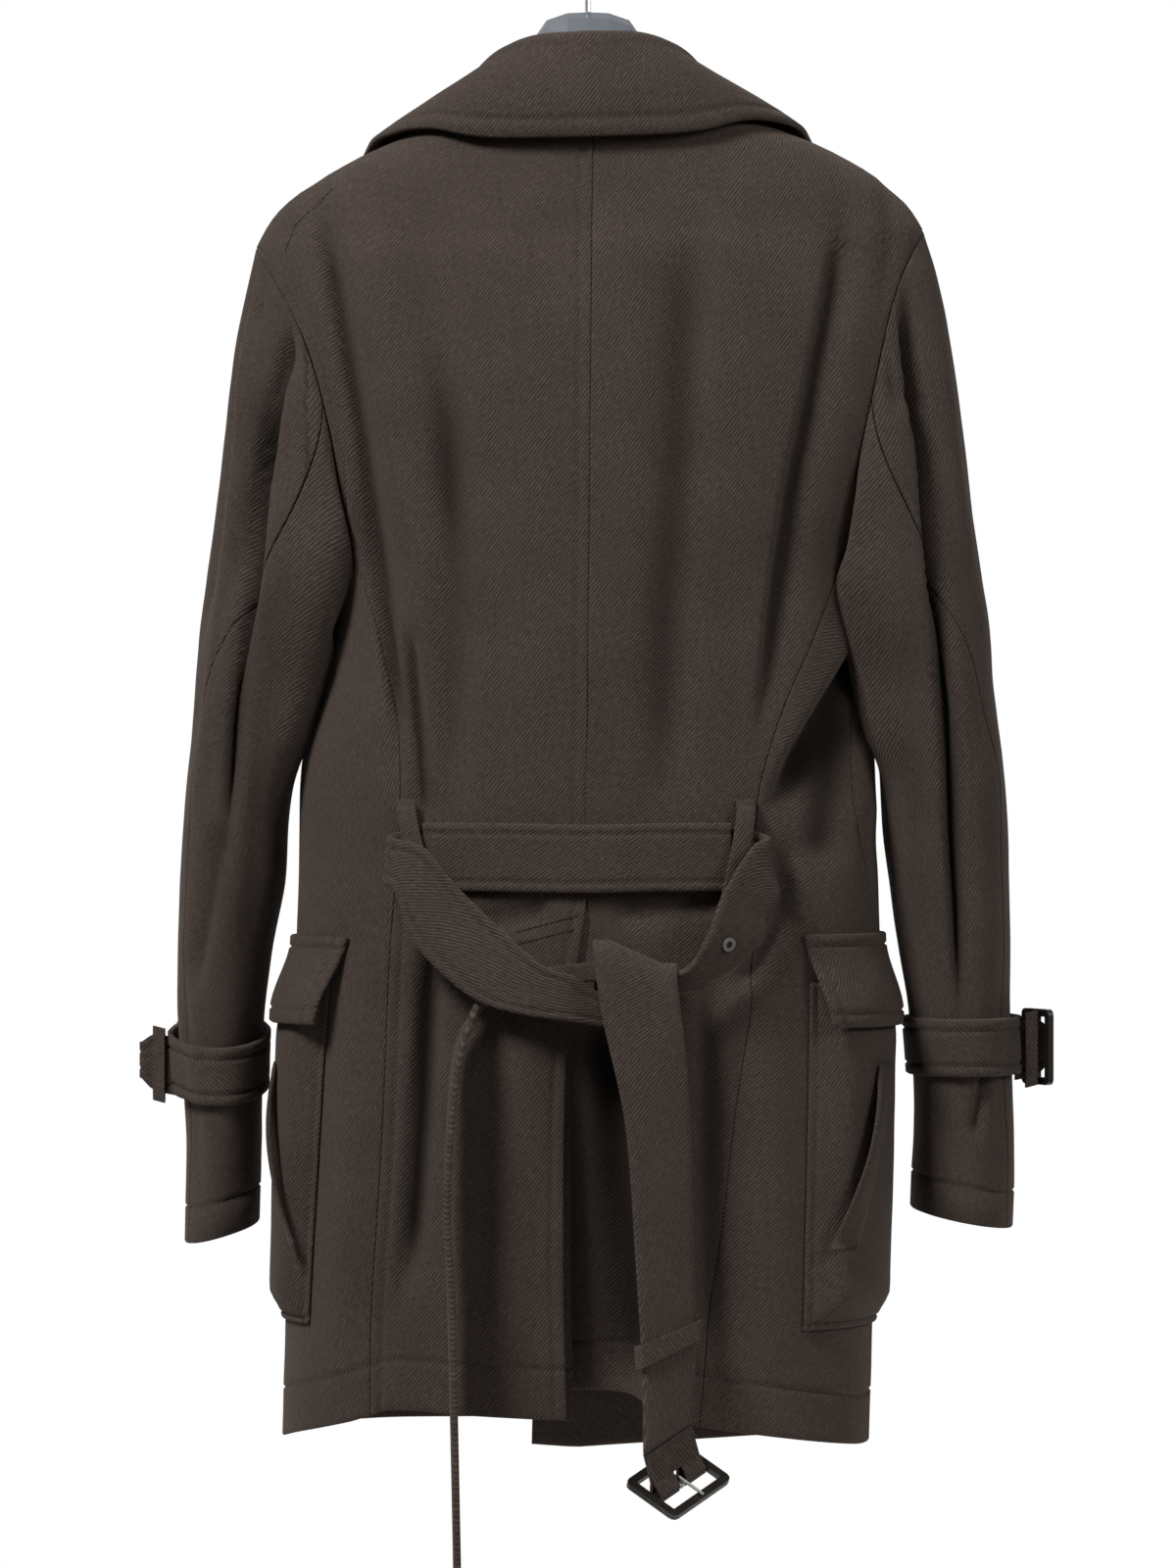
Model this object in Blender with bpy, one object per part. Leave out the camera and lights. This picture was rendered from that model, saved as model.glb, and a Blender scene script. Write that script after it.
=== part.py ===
"""Moto coat of heavy wool twill, hanging on a moulded hanger and seen from its back.

Tables and lengths are in millimetres; points are turned to metres when they are placed.
Heights are measured up from the side hem. The coat's back faces -Y and +X is the wearer's right.
The origin is the point of the hanger's hook that bears on a rail.
"""

import math
from collections import namedtuple

import bmesh
import bpy
from mathutils import Matrix, Vector

MM = 0.001
HANG_HEIGHT = 1002.0
CLOTH = 2.2
SEAM = 0.3
LAID_ON = 0.6
FULLNESS = 0.25
SHOULDER_TILT = 0.027

# Body rings: half width, back and front depth round a middle line, from below the hem to the neck.
Ring = namedtuple("Ring", "height middle half_width back front")
BODY = (
    Ring(-40, -9, 193, 108, 112),
    Ring(0, -8, 193, 107, 110),
    Ring(80, -6, 193, 106, 109),
    Ring(200, -3, 193, 104, 106),
    Ring(330, 0, 192, 101, 102),
    Ring(385, 0, 190, 99, 100),
    Ring(450, -2, 186, 99, 99),
    Ring(505, 0, 174, 100, 98),
    Ring(567, 0, 168, 100, 97),
    Ring(620, 1, 186, 99, 95),
    Ring(680, 1, 208, 97, 91),
    Ring(735, 1, 218, 91, 83),
    Ring(775, 1, 221, 83, 73),
    Ring(791, 1, 219, 77, 66),
    Ring(818, 0, 199, 71, 62),
    Ring(844, 0, 158, 66, 59),
    Ring(860, 0, 121, 64, 58),
    Ring(876, 0, 78, 62, 58),
)

# Large soft folds of the body: a trough has a negative depth. Turn is degrees from centre back.
Fold = namedtuple("Fold", "bottom top turn_bottom turn_top spread depth")
FOLDS = (
    Fold(425, 690, -34, -46, 6, -5.0),
    Fold(420, 735, 32, 40, 5.5, -5.0),
    Fold(420, 690, 24, 22, 7, -3.0),
    Fold(30, 330, -22, -16, 5, -4.0),
    Fold(30, 300, -32, -30, 5, 3.0),
    Fold(-20, 300, 7, 3, 5, -7.0),
    Fold(-20, 330, 24, 20, 6, 3.0),
    Fold(-20, 420, 140, 145, 9, 4.0),
    Fold(-20, 420, -140, -146, 9, 4.0),
    Fold(430, 700, 128, 124, 9, -4.0),
    Fold(430, 700, -128, -124, 9, -4.0),
)

Level = namedtuple("Level", "height sideways")
PRINCESS_LEFT = (
    Level(0, -141),
    Level(58, -140),
    Level(180, -133),
    Level(306, -128),
    Level(421, -121),
    Level(502, -133),
    Level(549, -142),
    Level(606, -163),
)
PRINCESS_RIGHT = (
    Level(0, 70),
    Level(45, 74),
    Level(115, 84),
    Level(209, 94),
    Level(291, 105),
    Level(414, 109),
    Level(482, 127),
    Level(531, 143),
    Level(606, 164),
)
CENTRE_BACK = (Level(0, -1), Level(345, -1), Level(413, -1), Level(620, 1), Level(850, 3), Level(900, 3))
VENT_EDGE = (Level(0, -14), Level(108, -16), Level(239, -14), Level(296, -8), Level(345, -1))
VENT_TOP = 336.0
VENT_DIP = 3.4
VENT_LAP = 40.0
VENT_GAPE = 9.0

Turned = namedtuple("Turned", "turn height")
HEM_LEFT = (
    Turned(-180, 3),
    Turned(-120, 5),
    Turned(-90, 4),
    Turned(-70, 11),
    Turned(-50, 21),
    Turned(-38, 30),
    Turned(-22, 28),
    Turned(0, 25),
    Turned(20, 25),
)
HEM_RIGHT = (
    Turned(-20, 40),
    Turned(0, 43),
    Turned(9, 40),
    Turned(20, 24),
    Turned(38, 14),
    Turned(70, 3),
    Turned(90, 1),
    Turned(120, -3),
    Turned(180, -17),
)

SideSeam = namedtuple("SideSeam", "height turn")
SIDE_SEAM_RIGHT = (
    SideSeam(-20, 82),
    SideSeam(200, 80),
    SideSeam(342, 76),
    SideSeam(420, 68),
    SideSeam(505, 79),
    SideSeam(567, 90),
)
SIDE_SEAM_LEFT = (SideSeam(-20, 96), SideSeam(342, 96), SideSeam(505, 94), SideSeam(567, 90))

# The armhole is an ellipse over turn and height, its lowest point at the top of the side seam.
UNDERARM = 567.0
SHOULDER_TIP = 791.0
ARM_MIDDLE = (UNDERARM + SHOULDER_TIP) / 2
ARM_HALF = (SHOULDER_TIP - UNDERARM) / 2
ARM_TURN_BACK = 34.0
ARM_TURN_FRONT = 30.0
PRINCESS_TOP = 606.0
NECK_POINT = 876.0
NECK_HALF = 78.0
BACK_NECK_DROP = 8.0
FRONT_NECK_DROP = 76.0

SKIRT_ROWS = (0, 60, 120, 180, 240, 296, 326, 345, 385, 440, 500, 555, 606)
ARM_ROWS = (-40.7, -20, 0, 20, 40, 58, 74, 90)
UNDER_ROWS = (-90, -80.1, -70.3, -60.4, -50.6, -40.7)
SHOULDER_ROWS = (791, 809, 832, 852, 868, 876)
FRONT_OVER = 72.0
FRONT_UNDER = 30.0
FRONT_TUCK = 3.2

# Sleeve rings: outer and inner reach from the middle of the coat, and depth round a middle line.
Cuff = namedtuple("Cuff", "height outer inner middle half_depth")
SLEEVE_LEFT = (
    Cuff(120, 267, 218, 22, 47),
    Cuff(195, 266, 216, 22, 48),
    Cuff(217, 267, 216, 21, 48),
    Cuff(278, 271, 214, 18, 50),
    Cuff(324, 271, 208, 15, 52),
    Cuff(368, 269, 200, 12, 54),
    Cuff(413, 266, 197, 8, 56),
    Cuff(464, 261, 190, 5, 58),
    Cuff(529, 256, 179, 2, 61),
    Cuff(567, 251, 174, 0, 63),
    Cuff(648, 242, 173, 0, 62),
    Cuff(709, 235, 175, 0, 56),
    Cuff(749, 228, 180, 0, 46),
    Cuff(791, 219, 195, 0, 28),
)
SLEEVE_RIGHT = (
    Cuff(130, 281, 212, 22, 50),
    Cuff(170, 282, 214, 22, 50),
    Cuff(222, 281, 216, 21, 50),
    Cuff(289, 279, 211, 17, 52),
    Cuff(338, 279, 203, 13, 54),
    Cuff(395, 277, 195, 9, 56),
    Cuff(439, 274, 191, 6, 58),
    Cuff(496, 267, 183.5, 3, 60),
    Cuff(533, 264, 180.5, 1, 62),
    Cuff(567, 259, 177, 0, 63),
    Cuff(640, 250, 176, 0, 62),
    Cuff(693, 241, 178, 0, 57),
    Cuff(757, 230, 184, 0, 44),
    Cuff(791, 221, 195, 0, 28),
)
CUFF_LEFT = 137.0
CUFF_RIGHT = 147.0
CUFF_DROP = 6.5
SLEEVE_TWIST = 55.0
SLEEVE_ROWS = (0, 0.05, 0.11, 0.18, 0.26, 0.35, 0.44, 0.53, 0.62, 0.71, 0.79, 0.86, 0.93, 1)
SLEEVE_BLEND = 0.34
SleeveFold = namedtuple("SleeveFold", "bottom top around_bottom around_top spread depth")
SLEEVE_FOLDS = (
    SleeveFold(430, 770, 48, 40, 13, -5.0),
    SleeveFold(430, 760, 15, 12, 13, 3.0),
    SleeveFold(300, 540, -35, -20, 16, -3.5),
    SleeveFold(150, 330, 30, 60, 15, -3.0),
    SleeveFold(160, 420, 200, 190, 16, -3.0),
)

# Collar stations: degrees round the neck from centre back.
Station = namedtuple("Station", "turn stand lean edge_height edge_out")
COLLAR = (
    Station(0, 48, 4, 848, 9),
    Station(25, 46, 8, 849, 8),
    Station(48, 38, 12, 855, 7),
    Station(70, 28, 13, 855, 6),
    Station(90, 22, 12, 853, 6),
    Station(112, 20, 9, 843, 6),
    Station(135, 19, 6, 810, 6),
    Station(155, 18, 4, 768, 6),
    Station(172, 18, 3, 742, 6),
)
COLLAR_END = 171.0
COLLAR_THICK = 4.4
COLLAR_FOLD_RADIUS = 5.0
COLLAR_CLEAR = 3.4
COLLAR_SEAT = 1.0
COLLAR_COLUMNS = 30
COLLAR_ROWS = 15

# Pockets: degrees of turn at the rear and front edge, heights, and how far the bellows stand out.
PocketCut = namedtuple("PocketCut", "side rear front top bottom flap_rear flap_front flap_top flap_bottom")
POCKETS = {
    "left": PocketCut(-1, 59, 116, 304, 82, 53, 119, 333, 276),
    "right": PocketCut(1, 48, 108, 304, 80, 46, 112, 335, 275),
}
BELLOWS = 12.0
BELLOWS_SIDE = 8.5
MOUTH_EASE = 0.55
BELLOWS_SLOPE = 0.16
SLEEVE_SIDE_TURN = 84.0
FLAP_THICK = 3.6
FLAP_TAPER = 5.0
WELT_STAND = 13.0
WELT_THICK = 3.0
Welt = namedtuple("Welt", "top_turn top_height bottom_turn bottom_height")
WELTS = {"left": Welt(80, 250, 66, 134), "right": Welt(76, 250, 60, 134)}

STRAP_WIDTH = 38.0
STRAP_THICK = 4.0
STRAP_LEFT = 250.0
STRAP_RIGHT = 260.0
STRAP_SAG = 9.0
CUFF_BUCKLE_AROUND = 150.0
CUFF_BUCKLE_STAND = 8.0
CUFF_BUCKLE_TURN = 63.0
CUFF_BUCKLE_OUT = 17.4
STRAP_TIP_SEAT = {-1: 7.8, 1: 6.8}
TIP_LONG = 18.0

# Belt stretches: the two edges of the strip, row by row along its run.
Edge = namedtuple("Edge", "ax ay ah bx by bh")
BELT_THICK = 4.4
BELT_BACK = (
    Edge(-106, -93.2, 407, -106, -93.2, 363),
    Edge(-60, -100.6, 407, -60, -100.6, 363),
    Edge(0, -103.4, 406, 0, -103.4, 362),
    Edge(50, -101.6, 407, 50, -101.6, 363),
    Edge(92, -96.2, 407, 92, -96.2, 363),
)
DROP_LEFT = (
    Edge(-107.5, -92.6, 405, -107.5, -92.6, 364),
    Edge(-119, -89.4, 402, -120, -89.4, 366),
    Edge(-127, -96, 398, -129, -96, 367),
    Edge(-104, -107, 391, -123, -104, 362),
    Edge(-81, -112, 364, -111, -109, 330),
    Edge(-32, -120, 319, -76, -118, 297),
    Edge(-9, -121, 310, -46, -122, 286),
    Edge(4, -119, 301, -12, -121, 281),
    Edge(17, -117, 296, 14, -117.5, 277),
    Edge(35, -114.8, 292, 34, -115, 276),
)
DROP_RIGHT = (
    Edge(93.5, -95.8, 405, 93.5, -95.8, 364),
    Edge(106, -92, 402, 106, -92, 366),
    Edge(115, -97, 398, 117, -96, 367),
    Edge(104, -112, 391, 122, -102, 360),
    Edge(86, -123, 362, 116, -101, 345),
    Edge(76, -130, 336, 107, -105, 327),
    Edge(62, -127, 314, 70, -113, 303),
    Edge(40, -121, 315, 41, -119, 301),
    Edge(12, -119, 318, 12, -117.5, 305),
    Edge(0, -116, 318, 0, -115.5, 306),
    Edge(-20, -110.5, 316, -20, -110.5, 301),
    Edge(-52, -109, 310, -54, -108, 294),
)
TAIL_BUCKLE = (
    Edge(6, -108.6, 281, 52, -108, 281),
    Edge(4, -109, 300, 56, -108.6, 300),
    Edge(3, -112, 319, 57, -111, 318),
    Edge(3, -122, 328, 57, -120, 327),
    Edge(4, -131.5, 318, 57, -130, 316),
    Edge(9, -135, 283, 61, -130, 278),
    Edge(24, -138, 215, 65, -124, 215),
    Edge(31, -143, 122, 67, -119, 128),
    Edge(34.5, -153, 62, 68, -124, 76),
    Edge(35.4, -165.4, 10.9, 64.8, -133.6, 26.7),
)
TAIL_PLAIN = (
    Edge(-58, -109, 308, -60, -108, 292),
    Edge(-70, -117, 292, -73, -107, 284),
    Edge(-80, -137, 264, -84, -104, 262),
    Edge(-86, -148, 221, -88, -107, 221),
    Edge(-89, -152, 161, -90, -109, 161),
    Edge(-86, -153, 109, -88, -110, 109),
    Edge(-84, -154, 30, -86, -111, 30),
    Edge(-82, -155, -66, -84, -112, -66),
    Edge(-81, -150, -118, -83, -119, -136),
)
LOOP_THICK = 2.6
LOOP_WIDTH = 12.0
LOOP_STAND = 9.2
KEEPER_THICK = 2.4
KEEPER_WIDTH = 8.0
KEEPER_SEAT = 1.6
KEEPER_PLACE = 0.87

# Belt buckle: its bar's middle and its directions along the bar and across it.
BUCKLE_MIDDLE = (57.0, -142.0, -9.0)
BUCKLE_ALONG = (0.638, 0.690, 0.345)
BUCKLE_ACROSS = (0.749, -0.452, -0.483)
FRAME_LONG = 58.0
FRAME_WIDE = 42.0
FRAME_RAIL = 5.5
FRAME_THICK = 4.0
BAR_WIDE = 3.2
LOOP_INNER = 3.2
FOLD_LAYER = 2.1
FOLD_HIGH = 29.0
FOLD_WIDE = 44.0
PRONG_SLOT = 0.1
PRONG_WIRE = 1.1
PRONG_RING = 3.9
EYELET_PLACE = (0.42, 0.46)
EYELET_SEAT = 0.6
EYELET_OUTER = 4.6
EYELET_INNER = 2.4
EYELET_THICK = 1.0

BUTTON_RADIUS = 12.0
BUTTON_THICK = 4.0
BUTTON_HEIGHTS = (700, 585, 470, 355)
BUTTON_SIDEWAYS = 48.0

HANGER_REACH = 204.0
HANGER_FALL = 15.0
Shape = namedtuple("Shape", "sideways top depth")
HANGER = (
    Shape(0, 940, 19),
    Shape(16, 939, 19),
    Shape(26, 935.5, 19),
    Shape(34, 927.5, 19),
    Shape(45, 907, 20),
    Shape(60, 882, 20),
    Shape(80, 867, 20),
    Shape(100, 862.6, 20),
    Shape(121, 855.9, 19),
    Shape(158, 839.2, 18),
    Shape(190, 820.2, 16),
    Shape(204, 806.5, 14),
)
HOOK_WIRE = 2.0
HOOK_RADIUS = 18.0


def smooth(value, low, high):
    """0 below low, 1 above high and an even rise between."""
    part = min(max((value - low) / (high - low), 0.0), 1.0)
    return part * part * (3 - 2 * part)


def mix(first, second, part):
    return first + (second - first) * part


def read(rows, column, at):
    """A column of a table, read smoothly at a value of its first column."""
    last = len(rows) - 1
    if at <= rows[0][0]:
        return getattr(rows[0], column)
    if at >= rows[last][0]:
        return getattr(rows[last], column)
    i = next(k for k in range(last) if rows[k + 1][0] > at)
    span = rows[i + 1][0] - rows[i][0]
    start, end = getattr(rows[i], column), getattr(rows[i + 1], column)

    def slope(k):
        before, after = max(k - 1, 0), min(k + 1, last)
        return (getattr(rows[after], column) - getattr(rows[before], column)) / (rows[after][0] - rows[before][0])

    p = (at - rows[i][0]) / span
    rise = slope(i) * span
    fall = slope(i + 1) * span
    return (
        start * (1 + 2 * p) * (1 - p) ** 2
        + rise * p * (1 - p) ** 2
        + end * p * p * (3 - 2 * p)
        + fall * p * p * (p - 1)
    )


def placed(x, y, height):
    """A point in metres, down from the hook."""
    return Vector((x * MM, y * MM, (height - HANG_HEIGHT) * MM))


def push_of(folds, turn, height):
    """How far the folds move the cloth out at a place."""
    total = 0.0
    for fold in folds:
        fade = smooth(height, fold[0], fold[0] + 60) * (1 - smooth(height, fold[1] - 60, fold[1]))
        if fade == 0.0:
            continue
        along = (height - fold[0]) / (fold[1] - fold[0])
        away = (turn - mix(fold[2], fold[3], along)) / fold.spread
        total += fold.depth * fade * math.exp(-away * away)
    return total


def body_surface(turn, height):
    angle = math.radians(turn)
    across, ahead = math.sin(angle), math.cos(angle)
    push = push_of(FOLDS, turn, height)
    reach = read(BODY, "back" if ahead > 0 else "front", height)
    x = read(BODY, "middle", height) + (read(BODY, "half_width", height) + push) * across
    y = -(reach * (1 + FULLNESS * across * across) + push) * ahead
    return placed(x, y, height + x * SHOULDER_TILT * smooth(height, 600, 780))


def out_of(surface, first, second, out, steps):
    """A surface's point moved out along its normal, by millimetres."""
    point = surface(first, second)
    if out == 0.0:
        return point
    one = surface(first + steps[0], second) - surface(first - steps[0], second)
    two = surface(first, second + steps[1]) - surface(first, second - steps[1])
    return point + one.cross(two).normalized() * out * MM


def body_point(turn, height, out=0.0):
    return out_of(body_surface, turn, height, out, (0.6, 2.0))


def turn_at(x, height):
    """Degrees of turn on the back at a sideways place."""
    part = (x - read(BODY, "middle", height)) / read(BODY, "half_width", height)
    return math.degrees(math.asin(min(max(part, -1.0), 1.0)))


def nudge(turn, height, distance):
    """A turn moved sideways by a distance along the cloth."""
    degree = (body_surface(turn + 0.5, height) - body_surface(turn - 0.5, height)).length / MM
    return turn + distance / degree


def material(name, colour, roughness, metallic):
    found = bpy.data.materials.get(name) or bpy.data.materials.new(name)
    found.use_nodes = True
    shader = found.node_tree.nodes["Principled BSDF"]
    shader.inputs["Base Color"].default_value = (*colour, 1)
    shader.inputs["Roughness"].default_value = roughness
    shader.inputs["Metallic"].default_value = metallic
    return found


def wool():
    return material("wool_twill", (0.050, 0.036, 0.028), 0.95, 0)


def leather():
    return material("black_leather", (0.012, 0.011, 0.010), 0.45, 0)


def metal():
    return material("dark_metal", (0.16, 0.15, 0.14), 0.35, 1)


def horn():
    return material("horn_button", (0.030, 0.022, 0.017), 0.4, 0)


def plastic():
    return material("grey_plastic", (0.17, 0.19, 0.21), 0.5, 0)


def steel():
    return material("hook_steel", (0.60, 0.60, 0.58), 0.3, 1)


def add_object(name, bm, finish):
    bmesh.ops.recalc_face_normals(bm, faces=bm.faces[:])
    if bm.calc_volume(signed=True) < 0:
        bmesh.ops.reverse_faces(bm, faces=bm.faces[:])
    mesh = bpy.data.meshes.new(name)
    bm.to_mesh(mesh)
    bm.free()
    mesh.materials.append(finish)
    mesh.shade_smooth()
    mesh.set_sharp_from_angle(angle=math.radians(50))
    obj = bpy.data.objects.new(name, mesh)
    bpy.context.scene.collection.objects.link(obj)
    return obj


def sheet(name, surface, columns, rows, finish, cut=None):
    """A closed wall of cloth. surface(across, along, face) gives its inner face at 0 and its outer face at 1."""
    bm = bmesh.new()
    bmesh.ops.create_grid(bm, x_segments=columns, y_segments=rows, size=0.5)
    if cut:
        holes = [f for f in bm.faces if cut(f.calc_center_median().x + 0.5, f.calc_center_median().y + 0.5)]
        bmesh.ops.delete(bm, geom=holes, context="FACES")
    inner = list(bm.verts)
    grown = bmesh.ops.extrude_face_region(bm, geom=bm.faces[:])
    outer = [v for v in grown["geom"] if isinstance(v, bmesh.types.BMVert)]
    for face, verts in enumerate((inner, outer)):
        for vert in verts:
            vert.co = surface(vert.co.x + 0.5, vert.co.y + 0.5, face)
    return add_object(name, bm, finish)


def princess(side, height):
    rows = PRINCESS_LEFT if side < 0 else PRINCESS_RIGHT
    top = side * (90 - ARM_TURN_BACK * math.cos(math.radians(ARM_ROWS[0])))
    below = turn_at(read(rows, "sideways", height), height)
    return mix(below, top, smooth(height, 560, PRINCESS_TOP))


def side_seam(side, height):
    return side * read(SIDE_SEAM_LEFT if side < 0 else SIDE_SEAM_RIGHT, "turn", height)


def hem(side, turn):
    return read(HEM_LEFT if side < 0 else HEM_RIGHT, "height", turn)


def arm_place(side, around):
    """Turn and height of the armhole; around is 0 at the back, 90 at the shoulder tip."""
    angle = math.radians(around)
    reach = ARM_TURN_BACK if math.cos(angle) > 0 else ARM_TURN_FRONT
    return side * (90 - reach * math.cos(angle)), ARM_MIDDLE + ARM_HALF * math.sin(angle)


def neck_height(turn):
    """The neckline's height round the neck, from centre back to centre front."""
    ahead = math.cos(math.radians(turn))
    return NECK_POINT - (BACK_NECK_DROP * ahead * ahead if ahead > 0 else -FRONT_NECK_DROP * ahead)


BACK_ROWS = len(SKIRT_ROWS) + len(ARM_ROWS) + len(SHOULDER_ROWS) - 3


def back_outer(side, row):
    """Turn and height of a back panel's outer edge: princess seam, armhole, then shoulder seam."""
    if row < len(SKIRT_ROWS):
        height = SKIRT_ROWS[row]
        return princess(side, height), height
    row -= len(SKIRT_ROWS) - 1
    if row < len(ARM_ROWS):
        return arm_place(side, ARM_ROWS[row])
    return side * 90.0, SHOULDER_ROWS[row - len(ARM_ROWS) + 1]


def back_panel(side):
    """A back half, from the centre-back seam and vent to the princess seam, armhole and shoulder."""

    def surface(across, along, face):
        row = round(along * BACK_ROWS)
        turn_out, height = back_outer(side, row)
        dip = 0.0
        middle = read(CENTRE_BACK, "sideways", height)
        if side < 0 and height < VENT_EDGE[-1].height:
            middle = read(VENT_EDGE, "sideways", height)
        if side > 0:
            lap = 1 - smooth(height, 300, 324)
            dip = (VENT_DIP + VENT_GAPE * (1 - smooth(height, 0, 300))) * (1 - smooth(height, 328, 344))
            middle -= VENT_LAP * lap
        turn_in = nudge(turn_at(middle, height), height, side * SEAM / 2)
        edge = nudge(turn_out, height, -side * SEAM * 0.8)
        turn = mix(turn_in, edge, across)
        if row < len(SKIRT_ROWS):
            low = hem(side, turn)
            height = low + height * (PRINCESS_TOP - low) / PRINCESS_TOP
        if height > SHOULDER_TIP:
            top = neck_height(abs(turn))
            height = SHOULDER_TIP + (height - SHOULDER_TIP) * (top - SHOULDER_TIP) / (NECK_POINT - SHOULDER_TIP)
        away = side * (turn - turn_at(read(CENTRE_BACK, "sideways", height), height))
        dip *= 1 - smooth(away, -2, 13)
        return body_point(turn, height, -dip - CLOTH * (1 - face))

    return sheet(("back_left", "back_right")[side > 0], surface, 9, BACK_ROWS, wool())


def side_panel(side):
    """A side panel, from the princess seam to the side seam, with the low part of the armhole at its top."""
    rows = len(SKIRT_ROWS) - 1
    columns = len(UNDER_ROWS) - 1

    def surface(across, along, face):
        part = SKIRT_ROWS[round(along * rows)] / PRINCESS_TOP
        top_turn, top = arm_place(side, UNDER_ROWS[columns - round(across * columns)])

        def between(height):
            start = princess(side, height * PRINCESS_TOP / top)
            return mix(start, side_seam(side, height * UNDERARM / top), across)

        turn = between(top * part)
        turn += (top_turn - between(top)) * part ** 8
        turn = nudge(turn, top * part, side * SEAM * (0.8 - 1.6 * across))
        low = hem(side, turn)
        height = low + part * (top - low)
        gap = SEAM if along == 1 else 0.0
        return body_point(turn, height - gap, -CLOTH * (1 - face))

    return sheet(("side_left", "side_right")[side > 0], surface, columns, rows, wool())


FRONT_ARM = (-90, -68, -45, -22, 0, 20, 40, 58, 74, 90)
FRONT_ROWS = len(SKIRT_ROWS) + len(FRONT_ARM) + len(SHOULDER_ROWS) - 3


def front_panel(side):
    """A front, from the side seam to its edge past the centre. The left one lies over the right one."""
    over = FRONT_OVER if side < 0 else FRONT_UNDER

    def surface(across, along, face):
        row = round(along * FRONT_ROWS)
        arm_row = row - len(SKIRT_ROWS) + 1
        if arm_row <= 0:
            height = SKIRT_ROWS[row] * UNDERARM / PRINCESS_TOP
            outer = side_seam(side, height)
        elif arm_row < len(FRONT_ARM):
            outer, height = arm_place(side, 180 - FRONT_ARM[arm_row])
        else:
            outer, height = side * 90.0, SHOULDER_ROWS[arm_row - len(FRONT_ARM) + 1]
        low_neck = NECK_POINT - FRONT_NECK_DROP
        inner = side * (180 + math.degrees(math.asin(over / read(BODY, "half_width", height))))
        if height > low_neck - 2:
            rise = min(max((NECK_POINT - height) / FRONT_NECK_DROP, 0.0), 0.995)
            reach = NECK_HALF * math.sqrt(1 - rise * rise)
            wide = max(read(BODY, "half_width", height), reach + 0.5)
            inner = side * (180 - math.degrees(math.asin(reach / wide)))
            inner = side * max(side * inner, 91.5)
        start = nudge(outer, height, side * SEAM / 2)
        turn = mix(start, inner, across)
        if arm_row <= 0:
            low = hem(side, turn if abs(turn) < 180 else side * (360 - abs(turn)))
            part = SKIRT_ROWS[row] / PRINCESS_TOP
            height = low + part * (UNDERARM - low)
        tuck = FRONT_TUCK * smooth(abs(turn), 132, 150) if side > 0 else 0.0
        return body_point(turn, height, -tuck - CLOTH * (1 - face))

    return sheet(("front_left", "front_right")[side > 0], surface, 11, FRONT_ROWS, wool())


def sleeve_ring(side, around, height):
    rows = SLEEVE_LEFT if side < 0 else SLEEVE_RIGHT
    angle = math.radians(around)
    outer, inner = read(rows, "outer", height), read(rows, "inner", height)
    turn = (around + 180) % 360 - 180
    push = push_of(SLEEVE_FOLDS, turn, height)
    push += push_of(SLEEVE_FOLDS, turn + 360, height)
    x = (outer + inner) / 2 + ((outer - inner) / 2 + push) * math.sin(angle)
    y = read(rows, "middle", height) - (read(rows, "half_depth", height) + push) * math.cos(angle)
    return placed(side * x, y, height)


def sleeve_surface(side, around, along):
    """A sleeve's point: the armhole at 0, the cuff at 1, easing from the armhole's loop to the sleeve's rings."""
    turn, top = arm_place(side, around)
    low = CUFF_LEFT if side < 0 else CUFF_RIGHT
    low -= CUFF_DROP * math.cos(math.radians(around - 20))
    height = top + (low - top) * along
    fade = 1 - smooth(along, 0, SLEEVE_BLEND)
    wound = around + SLEEVE_TWIST * smooth(along, 0, 0.5)
    point = sleeve_ring(side, wound, height)
    seam = body_surface(turn, top)
    shift = seam - sleeve_ring(side, around, top)
    return point + shift * fade


def sleeve_point(side, around, along, out=0.0):
    return out_of(lambda a, b: sleeve_surface(side, a, b), around, along, -out * side, (1.5, 0.01))


def sleeve_half(side, name, arounds):
    """One of a sleeve's two pieces, between the hind seam and the fore seam."""
    columns, rows = len(arounds) - 1, len(SLEEVE_ROWS) - 1

    def surface(across, along, face):
        column, row = round(across * columns), round(along * rows)
        around = arounds[column]
        reach = SEAM * 1.4
        if column == 0:
            around += reach
        if column == columns:
            around -= reach
        place = max(SLEEVE_ROWS[row], 0.0013)
        return sleeve_point(side, around, place, CLOTH * (face - 1))

    return sheet(name, surface, columns, rows, wool())


def sleeves():
    back_part = [a for a in UNDER_ROWS[:-1]] + [a for a in ARM_ROWS if a <= 0]
    upper_back = [a for a in ARM_ROWS if a >= 0]
    upper_front = [180 - a for a in reversed(FRONT_ARM[4:-1])]
    under_front = [180 - a for a in reversed(FRONT_ARM[:5])]
    under = under_front + [a + 360 for a in back_part[1:]]
    for side, word in ((-1, "left"), (1, "right")):
        sleeve_half(side, f"sleeve_{word}_upper", upper_back + upper_front)
        sleeve_half(side, f"sleeve_{word}_under", under)


def body_top(x, y):
    """Height of the shoulders' outer face over a place, or nothing where the place is outside them."""
    low, high = 730.0, NECK_POINT

    def inside(height):
        half = read(BODY, "half_width", height)
        reach = read(BODY, "back" if y < 0 else "front", height)
        across = (x - read(BODY, "middle", height)) / half
        if abs(across) >= 1:
            return False
        return abs(y) < reach * math.sqrt(1 - across * across) * (1 + FULLNESS * across * across)

    if not inside(low):
        return None
    for _ in range(24):
        trial = (low + high) / 2
        low, high = (trial, high) if inside(trial) else (low, trial)
    return low + x * SHOULDER_TILT


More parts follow.
